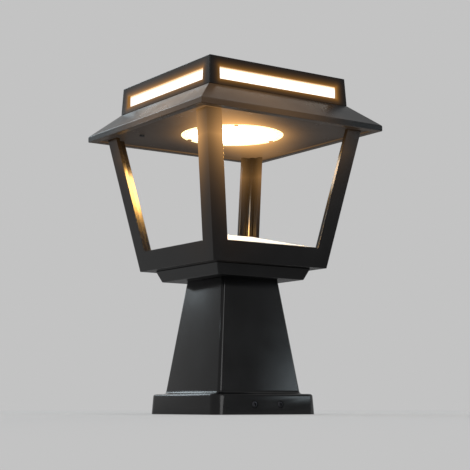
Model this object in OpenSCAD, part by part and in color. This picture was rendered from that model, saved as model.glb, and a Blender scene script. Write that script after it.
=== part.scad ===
// Square solar lantern on a short tapered pedestal, with a lit ceiling disc and four lit roof slots.
// Millimetres. Origin at the centre of the foot on the ground, Z up. The sides face X and Y.

/* [Foot] */
// Width of the foot at the ground
foot_w = 141; // [134:0.5:160]
// How far each side of the foot draws in towards its top
foot_draft = 1.2; // [0:0.1:2]
// Height of the foot's flat top
foot_h = 23; // [22:0.5:32]
// Radius of the foot's upright corners
foot_corner_r = 12; // [9:0.5:18]
// Radius of the rounded edge round the foot's top
foot_edge_r = 3; // [1:0.1:5]
// Radius of the cove where the column grows out of the foot
foot_cove_r = 4; // [1:0.1:5]
// Wall of the hollow foot
foot_wall = 4.5; // [3.5:0.1:5.5]
// Ledge of the foot all round the column
foot_shoulder = 14; // [11:0.5:22]

/* [Column] */
// Width of the column at its top
column_top_w = 76; // [73:0.5:90]
// Height of the column above the foot
column_h = 135.5; // [80:0.5:260]
// Radius of the column's upright corners
column_corner_r = 3.8; // [1:0.1:6]
// Wall of the hollow column
column_wall = 4; // [3:0.1:5]

/* [Neck collar] */
// How far the collar's top is set in from the frame's foot
collar_step = 13.3; // [4:0.1:18]
// How far each side of the collar draws in towards its lower rim
collar_draw = 5.6; // [2:0.1:9]
// Height of the collar
collar_h = 13; // [11:0.1:24]
// How far the collar reaches down round the column's top
collar_recess = 5.2; // [3:0.1:6]
// Thickness of the collar's sides, floor and cap
collar_wall = 3.6; // [2.5:0.1:4.5]

/* [Lantern frame] */
// Width of the frame across its foot
frame_bot_w = 156.4; // [148:0.1:170]
// Width of the frame across the tops of the posts
frame_top_w = 215.4; // [206:0.2:220]
// Height of the frame, band and posts together
frame_h = 160.2; // [110:0.1:260]
// Height of the band below the windows
band_h = 22.6; // [18:0.1:34]
// Width of each leg of the corner posts
post_leg = 20; // [16:0.1:26]
// Thickness of the posts and of the band
post_wall = 5; // [3.5:0.1:6]
// Thickness of the frame's floor
floor_t = 3.5; // [2.5:0.1:5]
// Radius of the rib down the inside of each post
rib_r = 4; // [3.4:0.1:5]

/* [Floor reflector] */
// Height of the reflector's flat top above its rim
reflector_rise = 16; // [10:0.1:26]
// Width of the reflector's flat top
reflector_top_w = 34.6; // [24:0.1:60]
// Thickness of the reflector
reflector_t = 1.6; // [1.2:0.1:2.5]

/* [Ceiling] */
// Thickness of the ceiling plate
plate_t = 2.5; // [2:0.1:4]
// How far the ceiling plate lies above the eave's lower edge
plate_sink = 2; // [0.5:0.1:2.2]
// Distance between the two screws on each side of the ceiling plate
plate_screw_pitch = 96; // [70:1:130]
// Thickness of the gasket between the ceiling plate and the roof
gasket_t = 1; // [0.8:0.1:2]

/* [Lamp] */
// Diameter of the lit disc
lamp_d = 120.6; // [104:0.2:126]
// Thickness of the lit disc
lamp_t = 2.5; // [2:0.1:3]
// Depth of the lamp dish behind the disc
dish_depth = 14; // [12:0.5:15]
// Height of the cooling fins on the dish
fin_h = 4; // [2:0.5:5]

/* [Mode button] */
// Diameter of the mode button
button_d = 5.8; // [4:0.1:8]
// Travel of the mode button
button_travel = 1.5; // [0.8:0.1:2]
// Place of the mode button along the left side of the ceiling
button_y = 59; // [30:1:66]

/* [Roof skirt] */
// How far the eave stands out beyond the tops of the posts
eave_overhang = 17.3; // [12:0.1:30]
// Height of the eave's upright edge
eave_h = 6.8; // [5:0.1:12]
// Width of the rim round the underside of the eave
eave_rim = 9; // [6:0.5:10]
// Rise of the sloping skirt
skirt_rise = 24.7; // [20:0.1:50]
// How far each side of the skirt slopes inwards
skirt_run = 28.7; // [20:0.1:34]
// Thickness of the skirt, measured level
skirt_wall = 5; // [3.5:0.1:7]

/* [Roof box] */
// How far each side of the box draws in towards its rim
box_draft = 1.8; // [0.5:0.1:3]
// Wall of the box at its upper rim
box_wall = 3; // [2:0.1:4]
// Height of the lit slots
slot_h = 13.7; // [8:0.1:18]
// Height of the slots above the box's foot
slot_foot = 7.2; // [6:0.1:14]
// Height of the box above the slots
slot_brow = 11.8; // [9.5:0.1:16]
// Distance from the end of each slot to the inside of the box's corner
slot_end = 10; // [8:0.1:30]

/* [Solar panel] */
// Columns of solar cells
cell_columns = 2; // [1:1:4]
// Rows of solar cells
cell_rows = 6; // [3:1:8]
// Thickness of the panel's glass
glass_t = 2; // [1.5:0.1:3]

/* [Fixings] */
// Distance between the ground bolt holes, each way
bolt_pitch = 80; // [60:1:88]
// Diameter of the ground bolt holes
bolt_hole_d = 6.5; // [5:0.1:9]
// Distance between the two screws in a side of the foot
foot_screw_pitch = 35; // [24:0.5:44]
// Depth of the foot screws below the foot's top
foot_screw_drop = 11.8; // [10:0.1:13]
// Distance of the neck screws from the sides of the column's top
neck_inset = 13; // [11:0.1:16]

/* [Hidden] */
$fn = 48;

// Colours
coat = [0.10, 0.10, 0.10];
steel = [0.72, 0.72, 0.74];
dark_steel = [0.16, 0.16, 0.17];
white = [0.95, 0.94, 0.90];
warm_white = [1.0, 0.93, 0.75];
rubber = [0.07, 0.07, 0.07];
bare_alloy = [0.62, 0.63, 0.65];
board_green = [0.10, 0.36, 0.20];
cell_blue = [0.06, 0.08, 0.20];
wrap_blue = [0.10, 0.25, 0.55];

// Clearances shared by all pieces: overrun of a cut, a screw in its thread, and loose pieces
cut = 1;
fit = 0.1;
gap = 0.3;
hole_gap = 0.25;

// Screws: shank, head and socket
m3_r = 1.5;
m3_head_r = 2.75;
m3_head_h = 1.8;
m4_r = 2;
m4_head_r = 3.5;
m4_head_h = 4;
m4_sink_r = 3.9;
m4_sink_h = 1.9;
m5_r = 2.5;
m5_head_r = 4.25;
m5_head_h = 5;
socket_r_share = 0.48;
socket_depth_share = 0.5;

// Widths that follow
column_bot_w = foot_w - 2 * foot_shoulder;
collar_top_w = frame_bot_w - 2 * collar_step;
collar_bot_w = collar_top_w - 2 * collar_draw;
eave_w = frame_top_w + 2 * eave_overhang;
box_bot_w = eave_w - 2 * skirt_run;
box_top_w = box_bot_w - 2 * box_draft;
box_cavity_w = box_top_w - 2 * box_wall;
box_h = slot_foot + slot_h + slot_brow;

// Levels, from the ground up
column_top_z = foot_h + column_h;
collar_z = column_top_z - collar_recess;
frame_z = collar_z + collar_h;
floor_z = frame_z + floor_t;
sill_z = frame_z + band_h;
plate_z = frame_z + frame_h;
plate_top_z = plate_z + plate_t;
eave_z = plate_z - plate_sink;
eave_top_z = eave_z + eave_h;
ledge_z = plate_top_z + gasket_t;
box_z = eave_top_z + skirt_rise;
top_z = box_z + box_h;

// Half widths at a height
function foot_half(z) = foot_w / 2 - foot_draft * z / (foot_h - foot_edge_r);
function column_half(z) = (column_bot_w - (column_bot_w - column_top_w) * (z - foot_h) / column_h) / 2;
function collar_half(z) = (collar_bot_w + (collar_top_w - collar_bot_w) * (z - collar_z) / collar_h) / 2;
function frame_half(z) = (frame_bot_w + (frame_top_w - frame_bot_w) * (z - frame_z) / frame_h) / 2;
function skirt_half(z) = (eave_w - (eave_w - box_bot_w) * (z - eave_top_z) / skirt_rise) / 2;

// Foot and mounting plate
edge_steps = 4;
corner_steps = 6;
foot_cavity_w = foot_w - 2 * foot_draft - 2 * foot_wall;
foot_cavity_r = foot_corner_r - foot_wall;
foot_roof_z = foot_h - foot_wall;
foot_screw_z = foot_h - foot_screw_drop;
foot_boss_r = 6.5;
foot_boss_wall = 2.7;
counterbore_r = 4;
counterbore_depth = m4_head_h + hole_gap;
foot_seat_y = foot_half(foot_screw_z) - counterbore_depth;
foot_boss_y = foot_seat_y - foot_boss_wall;
mount_plate_t = 2;
mount_plate_gap = 1.5;
tab_margin = 12;
tab_w = foot_screw_pitch + 2 * tab_margin;
tab_y = foot_boss_y - gap;
tab_top_z = foot_roof_z - mount_plate_gap;
foot_screw_l = foot_boss_wall + gap + mount_plate_t + m4_r;

// Column top, collar and neck screws
neck_pitch = column_top_w - 2 * neck_inset;
neck_boss_r = 6;
neck_boss_l = 8;
collar_boss_r = 7;
web_top_z = column_top_z + collar_wall;
collar_floor_z = collar_z + collar_wall;
neck_screw_l = floor_z - column_top_z + column_wall + neck_boss_l / 2;

// Frame, ribs and reflector
rib_inset = post_wall + rib_r / 2;
frame_slope = (frame_top_w - frame_bot_w) / 2 / frame_h;
post_screw_depth = 12;
post_screw_at = frame_half(plate_z) - rib_inset;
peg_r = 2;
peg_l = 7;
stand_r = 3.6;
reflector_boss_r = 5;
peg_inset = 14;
peg_drop = 4;
peg_seat_z = sill_z - peg_drop;
rim_z = sill_z - gap;
rim_half = frame_half(rim_z - reflector_t) - post_wall - gap;
peg_at = rim_half - peg_inset;
reflector_slope = reflector_rise / (rim_half - reflector_top_w / 2);

// Ceiling plate and its gasket
recess_half = eave_w / 2 - eave_rim;
plate_half = recess_half - gap;
plate_screw_edge = 12;
plate_screw_at = plate_half - plate_screw_edge;
screw_land = 2;
ledge_half = post_screw_at - m4_head_r - screw_land;
ledge_t = 3;
ledge_top_z = ledge_z + ledge_t;
gasket_margin = 1;
ceiling_boss_r = 4.5;
ceiling_boss_h = 5;

// Lamp dish, boards and sensor
lamp_r = lamp_d / 2;
lamp_z = plate_top_z - lamp_t;
dish_wall = 3;
dish_flange_t = 2.5;
dish_step = 6.3;
dish_lip = 7.7;
dish_r = lamp_r - dish_step;
dish_in_r = dish_r - dish_wall;
dish_flange_r = lamp_r + dish_lip;
dish_roof_z = plate_top_z + dish_depth;
dish_top_z = dish_roof_z + dish_wall;
rim_screws = 3;
rim_screw_at = dish_r + m3_head_r;
dish_screws_n = 4;
dish_screw_at = dish_flange_r - m3_head_r - cut;
blind_skin = 0.7;
fin_t = 2;
fin_pitch = 10;
fins_n = floor(dish_r / fin_pitch);
board_t = 1.6;
led_board_r = dish_in_r - cut;
chip_w = 3.5;
chip_h = 0.8;
chip_ring_shares = [0.45, 0.66, 0.87];
chip_ring_counts = [10, 16, 20];
sensor_w = 24;
sensor_d = 20;
sensor_drop = 3;
sensor_can_w = 8;
pin_w = 1;
pin_count = 5;
pin_pitch = 2.54;

// Mode button and switch board
button_inset = 6.4;
button_x = button_inset - ledge_half;
button_r = button_d / 2;
button_slack = 0.2;
button_proud = button_travel + button_slack;
button_flange_t = 1.2;
button_flange_lip = 1.6;
stem_r = 1.5;
stem_l = 1.6;
switch_z = plate_top_z + button_flange_t + stem_l + button_travel + button_slack;
switch_w = 6;
switch_h = 3.3;
switch_board_z = switch_z + switch_h;
switch_board_w = 12;
switch_board_l = 26;
standoff_r = 2.2;
standoff_at = switch_board_l / 2 - standoff_r - cut;

// Roof skirt
crown_t = 3.5;
crown_land = 8;

// Roof box, panel seat and corner bosses
box_boss_inset = 3;
box_boss_at = box_cavity_w / 2 - box_boss_inset;
crown_opening_w = 2 * (box_boss_at - crown_land);
box_boss_r = 4.3;
box_boss_h = 16;
panel_sink = 0.5;
panel_board_t = 0.8;
cell_t = 0.3;
panel_gasket_t = 1;
panel_ledge_w = 5;
panel_ledge_t = 2;
panel_ledge_z = top_z - panel_sink - glass_t - cell_t - panel_board_t - panel_gasket_t;
panel_half = box_cavity_w / 2 - gap;
panel_margin = 5;
cell_gap = 2;

// Slot diffusers and LED strips
slot_w = box_cavity_w - 2 * slot_end;
slot_z = box_z + slot_foot + slot_h / 2;
slot_lap = 2.6;
slot_diffuser_t = 3;
slot_diffuser_w = 2 * (box_boss_at - box_boss_r - gap);
slot_diffuser_h = slot_h + 2 * slot_lap;
strip_setback = 13;
strip_back = box_cavity_w / 2 - strip_setback;
strip_margin = 6;
strip_t = 1.6;
strip_w = slot_w - 2 * strip_margin;
strip_h = 10;
strip_chips = 15;

// Electronics tray, battery and control board
tray_t = 2;
tray_half = box_cavity_w / 2 - slot_diffuser_t;
tray_notch = 5.5;
tray_top_z = box_z + tray_t;
tray_screw_inset = 4;
tray_screw_at = tray_half - tray_screw_inset;
upstand_t = 2;
upstand_lap = 2.6;
upstand_h = slot_z + strip_h / 2 + upstand_lap - tray_top_z;
tray_room = strip_back - upstand_t;
side_margin = 4;
control_w = 84;
control_d = 46;
aisle = 12;
cell_r = 9.1;
cell_l = 65;
cell_pitch = 19.6;
cells_n = floor((2 * (tray_room - side_margin) - control_d - aisle) / cell_pitch);
cradle_gap = 0.2;
cradle_floor = 1.6;
cradle_h = 8;
cradle_end_t = 2;
cradle_end_h = 15;
cradle_y = tray_room - side_margin - cells_n * cell_pitch / 2;
cell_nub_r = 3;
cell_nub_l = 1.2;
battery_z = tray_top_z + cradle_floor + cell_r + cradle_gap;
control_y = side_margin + control_d / 2 - tray_room;
control_rise = 4;
control_z = tray_top_z + control_rise;
control_top_z = control_z + board_t;
control_post_r = 2.5;
control_post_inset = 4;

// Leads
lead_r = 1.1;
lead_bend_r = 1.25;
lead_hole_r = 2.2;
lead_margin = 4;
control_edge_y = control_y + control_d / 2;
lamp_lead_x = 20;
lamp_lead_y = control_edge_y + lead_margin;
fin_shift = lamp_lead_y - fin_pitch * round(lamp_lead_y / fin_pitch);
switch_lead_x = lead_margin - tray_room;
switch_lead_y = 48;
panel_lead_x = -30;
lead_run_z = control_top_z + lead_bend_r + gap;

// Shared shapes

module four_sides() {
    for (q = [0:3]) rotate([0, 0, 90 * q]) children();
}

module four_corners(at) {
    four_sides() translate([at, at, 0]) children();
}

module square_plate(half, h) {
    translate([-half, -half, 0]) cube([2 * half, 2 * half, h]);
}

// Block with a square foot and a square top of another width
module frustum(bot_half, top_half, h) {
    side = [[-bot_half, 0], [bot_half, 0], [top_half, h], [-top_half, h]];
    reach = 2 * max(bot_half, top_half) + cut;
    intersection() {
        rotate([90, 0, 0]) linear_extrude(reach, center = true) polygon(side);
        rotate([90, 0, 90]) linear_extrude(reach, center = true) polygon(side);
    }
}

module rounded_plate(w, d, r, h) {
    linear_extrude(h) {
        square([w - 2 * r, d], center = true);
        square([w, d - 2 * r], center = true);
        for (x = [-1, 1], y = [-1, 1]) translate([x * (w / 2 - r), y * (d / 2 - r)]) circle(r);
    }
}

// One level of a lofted block: a square ring with round corners
function ring(half, r, z) = [
    for (q = [0:3], k = [0:corner_steps])
        let (a = 90 * (q + k / corner_steps), c = half - r, s = [1, -1, -1, 1])
        [c * s[q] + r * cos(a), c * s[(q + 3) % 4] + r * sin(a), z]
];

module loft(levels) {
    n = 4 * (corner_steps + 1);
    top = len(levels) - 1;
    points = [for (l = levels) each ring(l[0], l[1], l[2])];
    sides = [for (i = [0:top - 1], k = [0:n - 1])
        let (a = i * n + k, b = i * n + (k + 1) % n) each [[a, a + n, b + n], [a, b + n, b]]];
    foot = [for (k = [0:n - 1]) k];
    crown = [for (k = [0:n - 1]) top * n + n - 1 - k];
    polyhedron(points, concat([foot], sides, [crown]), convexity = 4);
}

module socket_screw(r, l, head_r, head_h) {
    translate([0, 0, -l]) cylinder(h = l, r = r);
    difference() {
        cylinder(h = head_h, r = head_r);
        translate([0, 0, head_h * (1 - socket_depth_share)])
            cylinder(h = head_h, r = head_r * socket_r_share, $fn = 6);
    }
}

module pan_screw(l) {
    translate([0, 0, -l]) cylinder(h = l, r = m3_r);
    socket_head_z = m3_head_h * (1 - socket_depth_share);
    difference() {
        cylinder(h = m3_head_h, r1 = m3_head_r, r2 = m3_head_r - m3_head_h / 2);
        translate([0, 0, socket_head_z]) cylinder(h = m3_head_h, r = m3_r * 0.7, $fn = 6);
    }
}

// A lead of round wire through a list of points
module lead(points) {
    for (i = [0:len(points) - 2]) {
        run = points[i + 1] - points[i];
        translate(points[i]) rotate([0, acos(run[2] / norm(run)), atan2(run[1], run[0])])
            cylinder(h = norm(run), r = lead_r, $fn = 16);
        if (i > 0) translate(points[i]) sphere(lead_bend_r, $fn = 16);
    }
}

// Pedestal and its fixing

module mounting_plate() color(steel) difference() {
    union() {
        rounded_plate(foot_cavity_w - 2 * mount_plate_gap, 2 * tab_y, foot_cavity_r, mount_plate_t);
        for (s = [-1, 1]) translate([-tab_w / 2, s * (tab_y - mount_plate_t / 2) - mount_plate_t / 2, 0])
            cube([tab_w, mount_plate_t, tab_top_z]);
    }
    for (x = [-1, 1], y = [-1, 1]) translate([x * bolt_pitch / 2, y * bolt_pitch / 2, -cut])
        cylinder(h = mount_plate_t + 2 * cut, d = bolt_hole_d);
    foot_screw_holes(m4_r + fit, tab_y + cut);
}

module foot_screw_holes(r, reach) {
    for (s = [-1, 1]) translate([s * foot_screw_pitch / 2, 0, foot_screw_z])
        rotate([90, 0, 0]) cylinder(h = 2 * reach, r = r, center = true);
}

module foot_screws() color(dark_steel)
    for (q = [0, 1], s = [-1, 1]) rotate([0, 0, 180 * q])
        translate([s * foot_screw_pitch / 2, -foot_seat_y, foot_screw_z]) rotate([90, 0, 0])
            socket_screw(m4_r, foot_screw_l, m4_head_r, m4_head_h);

// Outer skin of the pedestal: foot, rounded edge, cove and column
module pedestal_skin() {
    edge_half = foot_w / 2 - foot_draft;
    cove_top_z = foot_h + foot_cove_r;
    cove_half = column_half(cove_top_z) + foot_cove_r;
    steps = [for (k = [0:edge_steps]) 90 * k / edge_steps];
    edge = [for (a = steps)
        [edge_half - foot_edge_r * (1 - cos(a)), foot_corner_r - foot_edge_r * (1 - cos(a)),
         foot_h - foot_edge_r * (1 - sin(a))]];
    cove = [for (a = steps)
        [cove_half - foot_cove_r * sin(a), column_corner_r + foot_cove_r * (1 - sin(a)),
         cove_top_z - foot_cove_r * cos(a)]];
    loft(concat([[foot_w / 2, foot_corner_r, 0]], edge, cove,
                [[column_top_w / 2, column_corner_r, column_top_z]]));
}

module pedestal() color(coat) difference() {
    union() {
        difference() {
            pedestal_skin();
            translate([0, 0, -cut])
                rounded_plate(foot_cavity_w, foot_cavity_w, foot_cavity_r, foot_roof_z + cut);
            translate([0, 0, foot_roof_z - cut])
                frustum(column_half(foot_roof_z - cut) - column_wall,
                        column_half(column_top_z - column_wall) - column_wall,
                        column_h + foot_wall + cut - column_wall);
        }
        for (q = [0, 1], s = [-1, 1]) rotate([0, 0, 180 * q])
            translate([s * foot_screw_pitch / 2, -foot_boss_y, foot_screw_z]) rotate([90, 0, 0])
                cylinder(h = foot_seat_y - foot_boss_y + cut, r = foot_boss_r);
        four_corners(neck_pitch / 2) translate([0, 0, column_top_z - column_wall - neck_boss_l])
            cylinder(h = neck_boss_l + column_wall / 2, r = neck_boss_r);
    }
    foot_screw_holes(m4_r + hole_gap, foot_w);
    for (q = [0, 1], s = [-1, 1]) rotate([0, 0, 180 * q])
        translate([s * foot_screw_pitch / 2, -foot_seat_y, foot_screw_z]) rotate([90, 0, 0])
            cylinder(h = foot_w / 2, r = counterbore_r);
    four_corners(neck_pitch / 2) translate([0, 0, column_top_z - column_wall - neck_boss_l - cut])
        cylinder(h = neck_boss_l + column_wall + 2 * cut, r = m5_r + fit);
}

// A tray with a raised cap in its middle that fits over the column's top
module neck_collar() color(coat) difference() {
    union() {
        difference() {
            translate([0, 0, collar_z]) frustum(collar_bot_w / 2, collar_top_w / 2, collar_h);
            translate([0, 0, collar_floor_z])
                frustum(collar_half(collar_floor_z) - collar_wall, collar_half(frame_z + cut) - collar_wall,
                        frame_z + cut - collar_floor_z);
        }
        translate([0, 0, collar_z])
            frustum(column_half(collar_z) + gap + collar_wall, column_half(web_top_z) + gap + collar_wall,
                    web_top_z - collar_z);
        four_corners(neck_pitch / 2) translate([0, 0, column_top_z])
            cylinder(h = frame_z - column_top_z, r = collar_boss_r);
    }
    loft([for (z = [collar_z - cut, column_top_z]) [column_half(z) + gap, column_corner_r + gap, z]]);
    four_corners(neck_pitch / 2) translate([0, 0, column_top_z - cut])
        cylinder(h = collar_h, r = m5_r + hole_gap);
}

module neck_screws() color(steel)
    four_corners(neck_pitch / 2) translate([0, 0, floor_z])
        socket_screw(m5_r, neck_screw_l, m5_head_r, m5_head_h);

// Lantern frame and reflector

module frame_block() {
    translate([0, 0, frame_z]) frustum(frame_bot_w / 2, frame_top_w / 2, frame_h);
}

// The four window openings, cut straight through along X
module window_cut() {
    half = [for (z = [sill_z, plate_z + cut]) frame_half(z) - post_leg];
    rotate([90, 0, 90]) linear_extrude(frame_top_w + 2 * cut, center = true)
        polygon([[-half[0], sill_z], [half[0], sill_z], [half[1], plate_z + cut], [-half[1], plate_z + cut]]);
}

// A round rib that leans outwards up the inside corner of a post, or the clearance round it
module post_rib(clearance = 0) {
    start = frame_half(frame_z) - rib_inset;
    rib_l = 2 * rib_r + frame_h * norm([frame_slope, frame_slope, 1]);
    translate([start, start, frame_z]) rotate([0, atan(frame_slope * sqrt(2)), 45])
        translate([0, 0, -rib_r]) cylinder(h = rib_l, r = rib_r + clearance);
}

module lantern_frame() color(coat) difference() {
    union() {
        difference() {
            frame_block();
            translate([0, 0, floor_z])
                frustum(frame_half(floor_z) - post_wall, frame_half(plate_z + cut) - post_wall,
                        plate_z + cut - floor_z);
            window_cut();
            rotate([0, 0, 90]) window_cut();
        }
        intersection() {
            frame_block();
            four_sides() post_rib();
        }
        four_corners(peg_at) translate([0, 0, floor_z - floor_t / 2])
            cylinder(h = peg_seat_z - floor_z + floor_t / 2, r = reflector_boss_r);
    }
    four_corners(neck_pitch / 2) translate([0, 0, frame_z - cut])
        cylinder(h = floor_t + 2 * cut, r = m5_r + hole_gap);
    four_corners(post_screw_at) translate([0, 0, plate_z - post_screw_depth - cut])
        cylinder(h = post_screw_depth + 2 * cut, r = m4_r + fit);
    four_corners(peg_at) translate([0, 0, peg_seat_z - peg_l - cut])
        cylinder(h = peg_l + 2 * cut, r = peg_r + fit);
}

module floor_reflector() color(white) {
    stand_top_z = rim_z + (peg_inset - stand_r) * reflector_slope - reflector_t / 2;
    difference() {
        union() {
            translate([0, 0, rim_z - reflector_t]) square_plate(rim_half, reflector_t);
            translate([0, 0, rim_z]) frustum(rim_half, reflector_top_w / 2, reflector_rise);
        }
        difference() {
            union() {
                translate([0, 0, rim_z - reflector_t])
                    frustum(rim_half - 2 * reflector_t, reflector_top_w / 2 - reflector_t, reflector_rise);
                translate([0, 0, rim_z - reflector_t - cut]) square_plate(rim_half - 2 * reflector_t, cut);
            }
            four_sides() post_rib(gap + reflector_t);
        }
        four_sides() post_rib(gap);
    }
    four_corners(peg_at) {
        translate([0, 0, peg_seat_z]) cylinder(h = stand_top_z - peg_seat_z, r = stand_r);
        translate([0, 0, peg_seat_z - peg_l]) cylinder(h = peg_l + cut, r = peg_r);
    }
}

module post_screws() color(steel)
    four_corners(post_screw_at) translate([0, 0, ledge_top_z])
        socket_screw(m4_r, ledge_top_z - plate_z + post_screw_depth, m4_head_r, m4_head_h);

// Roof skirt, ceiling plate and their fixings

// Places of the eight ceiling screws
module ceiling_screw_places() {
    four_sides() for (s = [-1, 1]) translate([s * plate_screw_pitch / 2, -plate_screw_at, 0]) children();
}

module roof_skirt() color(coat) difference() {
    union() {
        difference() {
            union() {
                translate([0, 0, eave_z]) square_plate(eave_w / 2, eave_h);
                translate([0, 0, eave_top_z]) frustum(eave_w / 2, box_bot_w / 2, skirt_rise);
            }
            translate([0, 0, eave_z - cut]) square_plate(recess_half, ledge_z - eave_z + cut);
            translate([0, 0, ledge_z - cut]) square_plate(ledge_half, ledge_t + 2 * cut);
            translate([0, 0, ledge_top_z])
                frustum(skirt_half(ledge_top_z) - skirt_wall, skirt_half(box_z - crown_t) - skirt_wall,
                        box_z - crown_t - ledge_top_z);
            translate([0, 0, box_z - crown_t - cut]) square_plate(crown_opening_w / 2, crown_t + 2 * cut);
        }
        ceiling_screw_places() translate([0, 0, ledge_top_z - ledge_t / 2])
            cylinder(h = ceiling_boss_h + ledge_t / 2, r = ceiling_boss_r);
    }
    ceiling_screw_places() translate([0, 0, ledge_z - cut])
        cylinder(h = ledge_t + ceiling_boss_h + 2 * cut, r = m4_r + fit);
    four_corners(post_screw_at) translate([0, 0, ledge_z - cut])
        cylinder(h = ledge_t + 2 * cut, r = m4_r + hole_gap);
    four_corners(box_boss_at) translate([0, 0, box_z - crown_t - cut])
        cylinder(h = crown_t + 2 * cut, r = m4_r + hole_gap);
    four_sides() translate([tray_screw_at, 0, box_z - crown_t - cut])
        cylinder(h = crown_t + 2 * cut, r = m3_r + fit);
}

module ceiling_gasket() color(rubber) translate([0, 0, plate_top_z]) difference() {
    square_plate(plate_half - gasket_margin, gasket_t);
    translate([0, 0, -cut]) square_plate(ledge_half + gasket_margin, gasket_t + 2 * cut);
    ceiling_screw_places() translate([0, 0, -cut]) cylinder(h = gasket_t + 2 * cut, r = m4_r + hole_gap);
    four_corners(post_screw_at) translate([0, 0, -cut])
        cylinder(h = gasket_t + 2 * cut, r = m4_r + hole_gap);
}

module dish_screw_places() {
    for (k = [0:dish_screws_n - 1]) rotate([0, 0, 360 * (k + 0.5) / dish_screws_n])
        translate([dish_screw_at, 0, 0]) children();
}

module ceiling_plate() color(coat) {
    difference() {
        translate([0, 0, plate_z]) square_plate(plate_half, plate_t);
        translate([0, 0, plate_z - cut]) cylinder(h = plate_t + 2 * cut, r = lamp_r + gap, $fn = 96);
        ceiling_screw_places() translate([0, 0, plate_z - cut]) {
            cylinder(h = plate_t + 2 * cut, r = m4_r + hole_gap);
            cylinder(h = cut + fit, r = m4_sink_r + fit);
            translate([0, 0, cut + fit]) cylinder(h = m4_sink_h, r1 = m4_sink_r + fit, r2 = m4_r + fit);
        }
        four_corners(post_screw_at) translate([0, 0, plate_z - cut])
            cylinder(h = plate_t + 2 * cut, r = m4_r + hole_gap);
        dish_screw_places() translate([0, 0, plate_z + blind_skin])
            cylinder(h = plate_t + cut, r = m3_r + fit);
        translate([button_x, button_y, plate_z - cut])
            cylinder(h = plate_t + 2 * cut, r = button_r + gap);
    }
    for (s = [-1, 1]) translate([button_x, button_y + s * standoff_at, plate_top_z - plate_t / 2])
        cylinder(h = switch_board_z - plate_top_z + plate_t / 2, r = standoff_r);
}

module ceiling_screws() color(dark_steel)
    ceiling_screw_places() translate([0, 0, plate_z + fit]) difference() {
        union() {
            cylinder(h = m4_sink_h, r1 = m4_sink_r, r2 = m4_r);
            cylinder(h = ledge_top_z + ledge_t - plate_z, r = m4_r);
        }
        translate([0, 0, -cut]) cylinder(h = cut + m4_sink_h / 2, r = m4_r * 0.6, $fn = 6);
    }

// Lamp

module rim_screw_places() {
    for (k = [0:rim_screws - 1]) rotate([0, 0, 360 * k / rim_screws])
        translate([rim_screw_at, 0, 0]) children();
}

module led_diffuser() color(warm_white) difference() {
    translate([0, 0, lamp_z]) cylinder(h = lamp_t, r = lamp_r, $fn = 96);
    rim_screw_places() translate([0, 0, lamp_z - cut])
        cylinder(h = lamp_t + 2 * cut, r = m3_r + hole_gap);
}

module diffuser_screws() color(dark_steel)
    rim_screw_places() translate([0, 0, lamp_z]) mirror([0, 0, 1])
        pan_screw(lamp_t + dish_flange_t);

module lamp_dish() color(bare_alloy) difference() {
    union() {
        rotate_extrude($fn = 96) polygon([
            [dish_in_r, plate_top_z], [dish_flange_r, plate_top_z],
            [dish_flange_r, plate_top_z + dish_flange_t], [dish_r, plate_top_z + dish_flange_t],
            [dish_r, dish_top_z], [0, dish_top_z], [0, dish_roof_z], [dish_in_r, dish_roof_z]]);
        intersection() {
            translate([0, 0, dish_roof_z]) cylinder(h = dish_wall + fin_h, r = dish_r, $fn = 96);
            for (k = [-fins_n:fins_n]) {
                y = (k + 0.5) * fin_pitch + fin_shift;
                if (abs(y) < dish_r - fin_pitch / 2)
                    translate([-dish_r, y - fin_t / 2, dish_top_z - dish_wall / 2])
                        cube([2 * dish_r, fin_t, fin_h + dish_wall / 2]);
            }
        }
    }
    rim_screw_places() translate([0, 0, plate_top_z - cut])
        cylinder(h = dish_flange_t + 2 * cut, r = m3_r + fit);
    dish_screw_places() translate([0, 0, plate_top_z - cut])
        cylinder(h = dish_flange_t + 2 * cut, r = m3_r + hole_gap);
    translate([lamp_lead_x, lamp_lead_y, dish_roof_z - cut])
        cylinder(h = dish_wall + fin_h + 2 * cut, r = lead_hole_r);
}

module dish_screws() color(steel)
    dish_screw_places() translate([0, 0, plate_top_z + dish_flange_t])
        pan_screw(dish_flange_t + plate_t - blind_skin - fit);

module led_board() color(white) translate([0, 0, dish_roof_z - board_t])
    cylinder(h = board_t, r = led_board_r, $fn = 96);

module led_chips() color(warm_white)
    for (i = [0:len(chip_ring_shares) - 1], k = [0:chip_ring_counts[i] - 1])
        rotate([0, 0, 360 * k / chip_ring_counts[i]])
            translate([led_board_r * chip_ring_shares[i] - chip_w / 2, -chip_w / 2,
                       dish_roof_z - board_t - chip_h])
                cube([chip_w, chip_w, chip_h]);

module motion_sensor() color(board_green) translate([0, 0, dish_roof_z - board_t]) {
    translate([-sensor_w / 2, -sensor_d / 2, -sensor_drop - board_t]) cube([sensor_w, sensor_d, board_t]);
    translate([-sensor_can_w / 2, -sensor_can_w / 2, -sensor_drop]) cube([sensor_can_w, sensor_can_w, board_t]);
    for (s = [-1, 1], k = [0:pin_count - 1])
        translate([s * (sensor_w / 2 - pin_w) - pin_w / 2,
                   (k - (pin_count - 1) / 2) * pin_pitch - pin_w / 2, -sensor_drop - board_t / 2])
            cube([pin_w, pin_w, sensor_drop + board_t / 2]);
}

// Mode button

module mode_button() color(rubber) translate([button_x, button_y, 0]) {
    translate([0, 0, plate_z - button_proud]) cylinder(h = plate_t + button_proud, r = button_r);
    translate([0, 0, plate_top_z]) cylinder(h = button_flange_t, r = button_r + button_flange_lip);
    translate([0, 0, plate_top_z + button_flange_t]) cylinder(h = stem_l, r = stem_r);
}

module switch_board() color(board_green) translate([button_x, button_y, 0]) {
    translate([-switch_board_w / 2, -switch_board_l / 2, switch_board_z])
        cube([switch_board_w, switch_board_l, board_t]);
    translate([-switch_w / 2, -switch_w / 2, switch_z]) cube([switch_w, switch_w, switch_h]);
}

// Roof box

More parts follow.
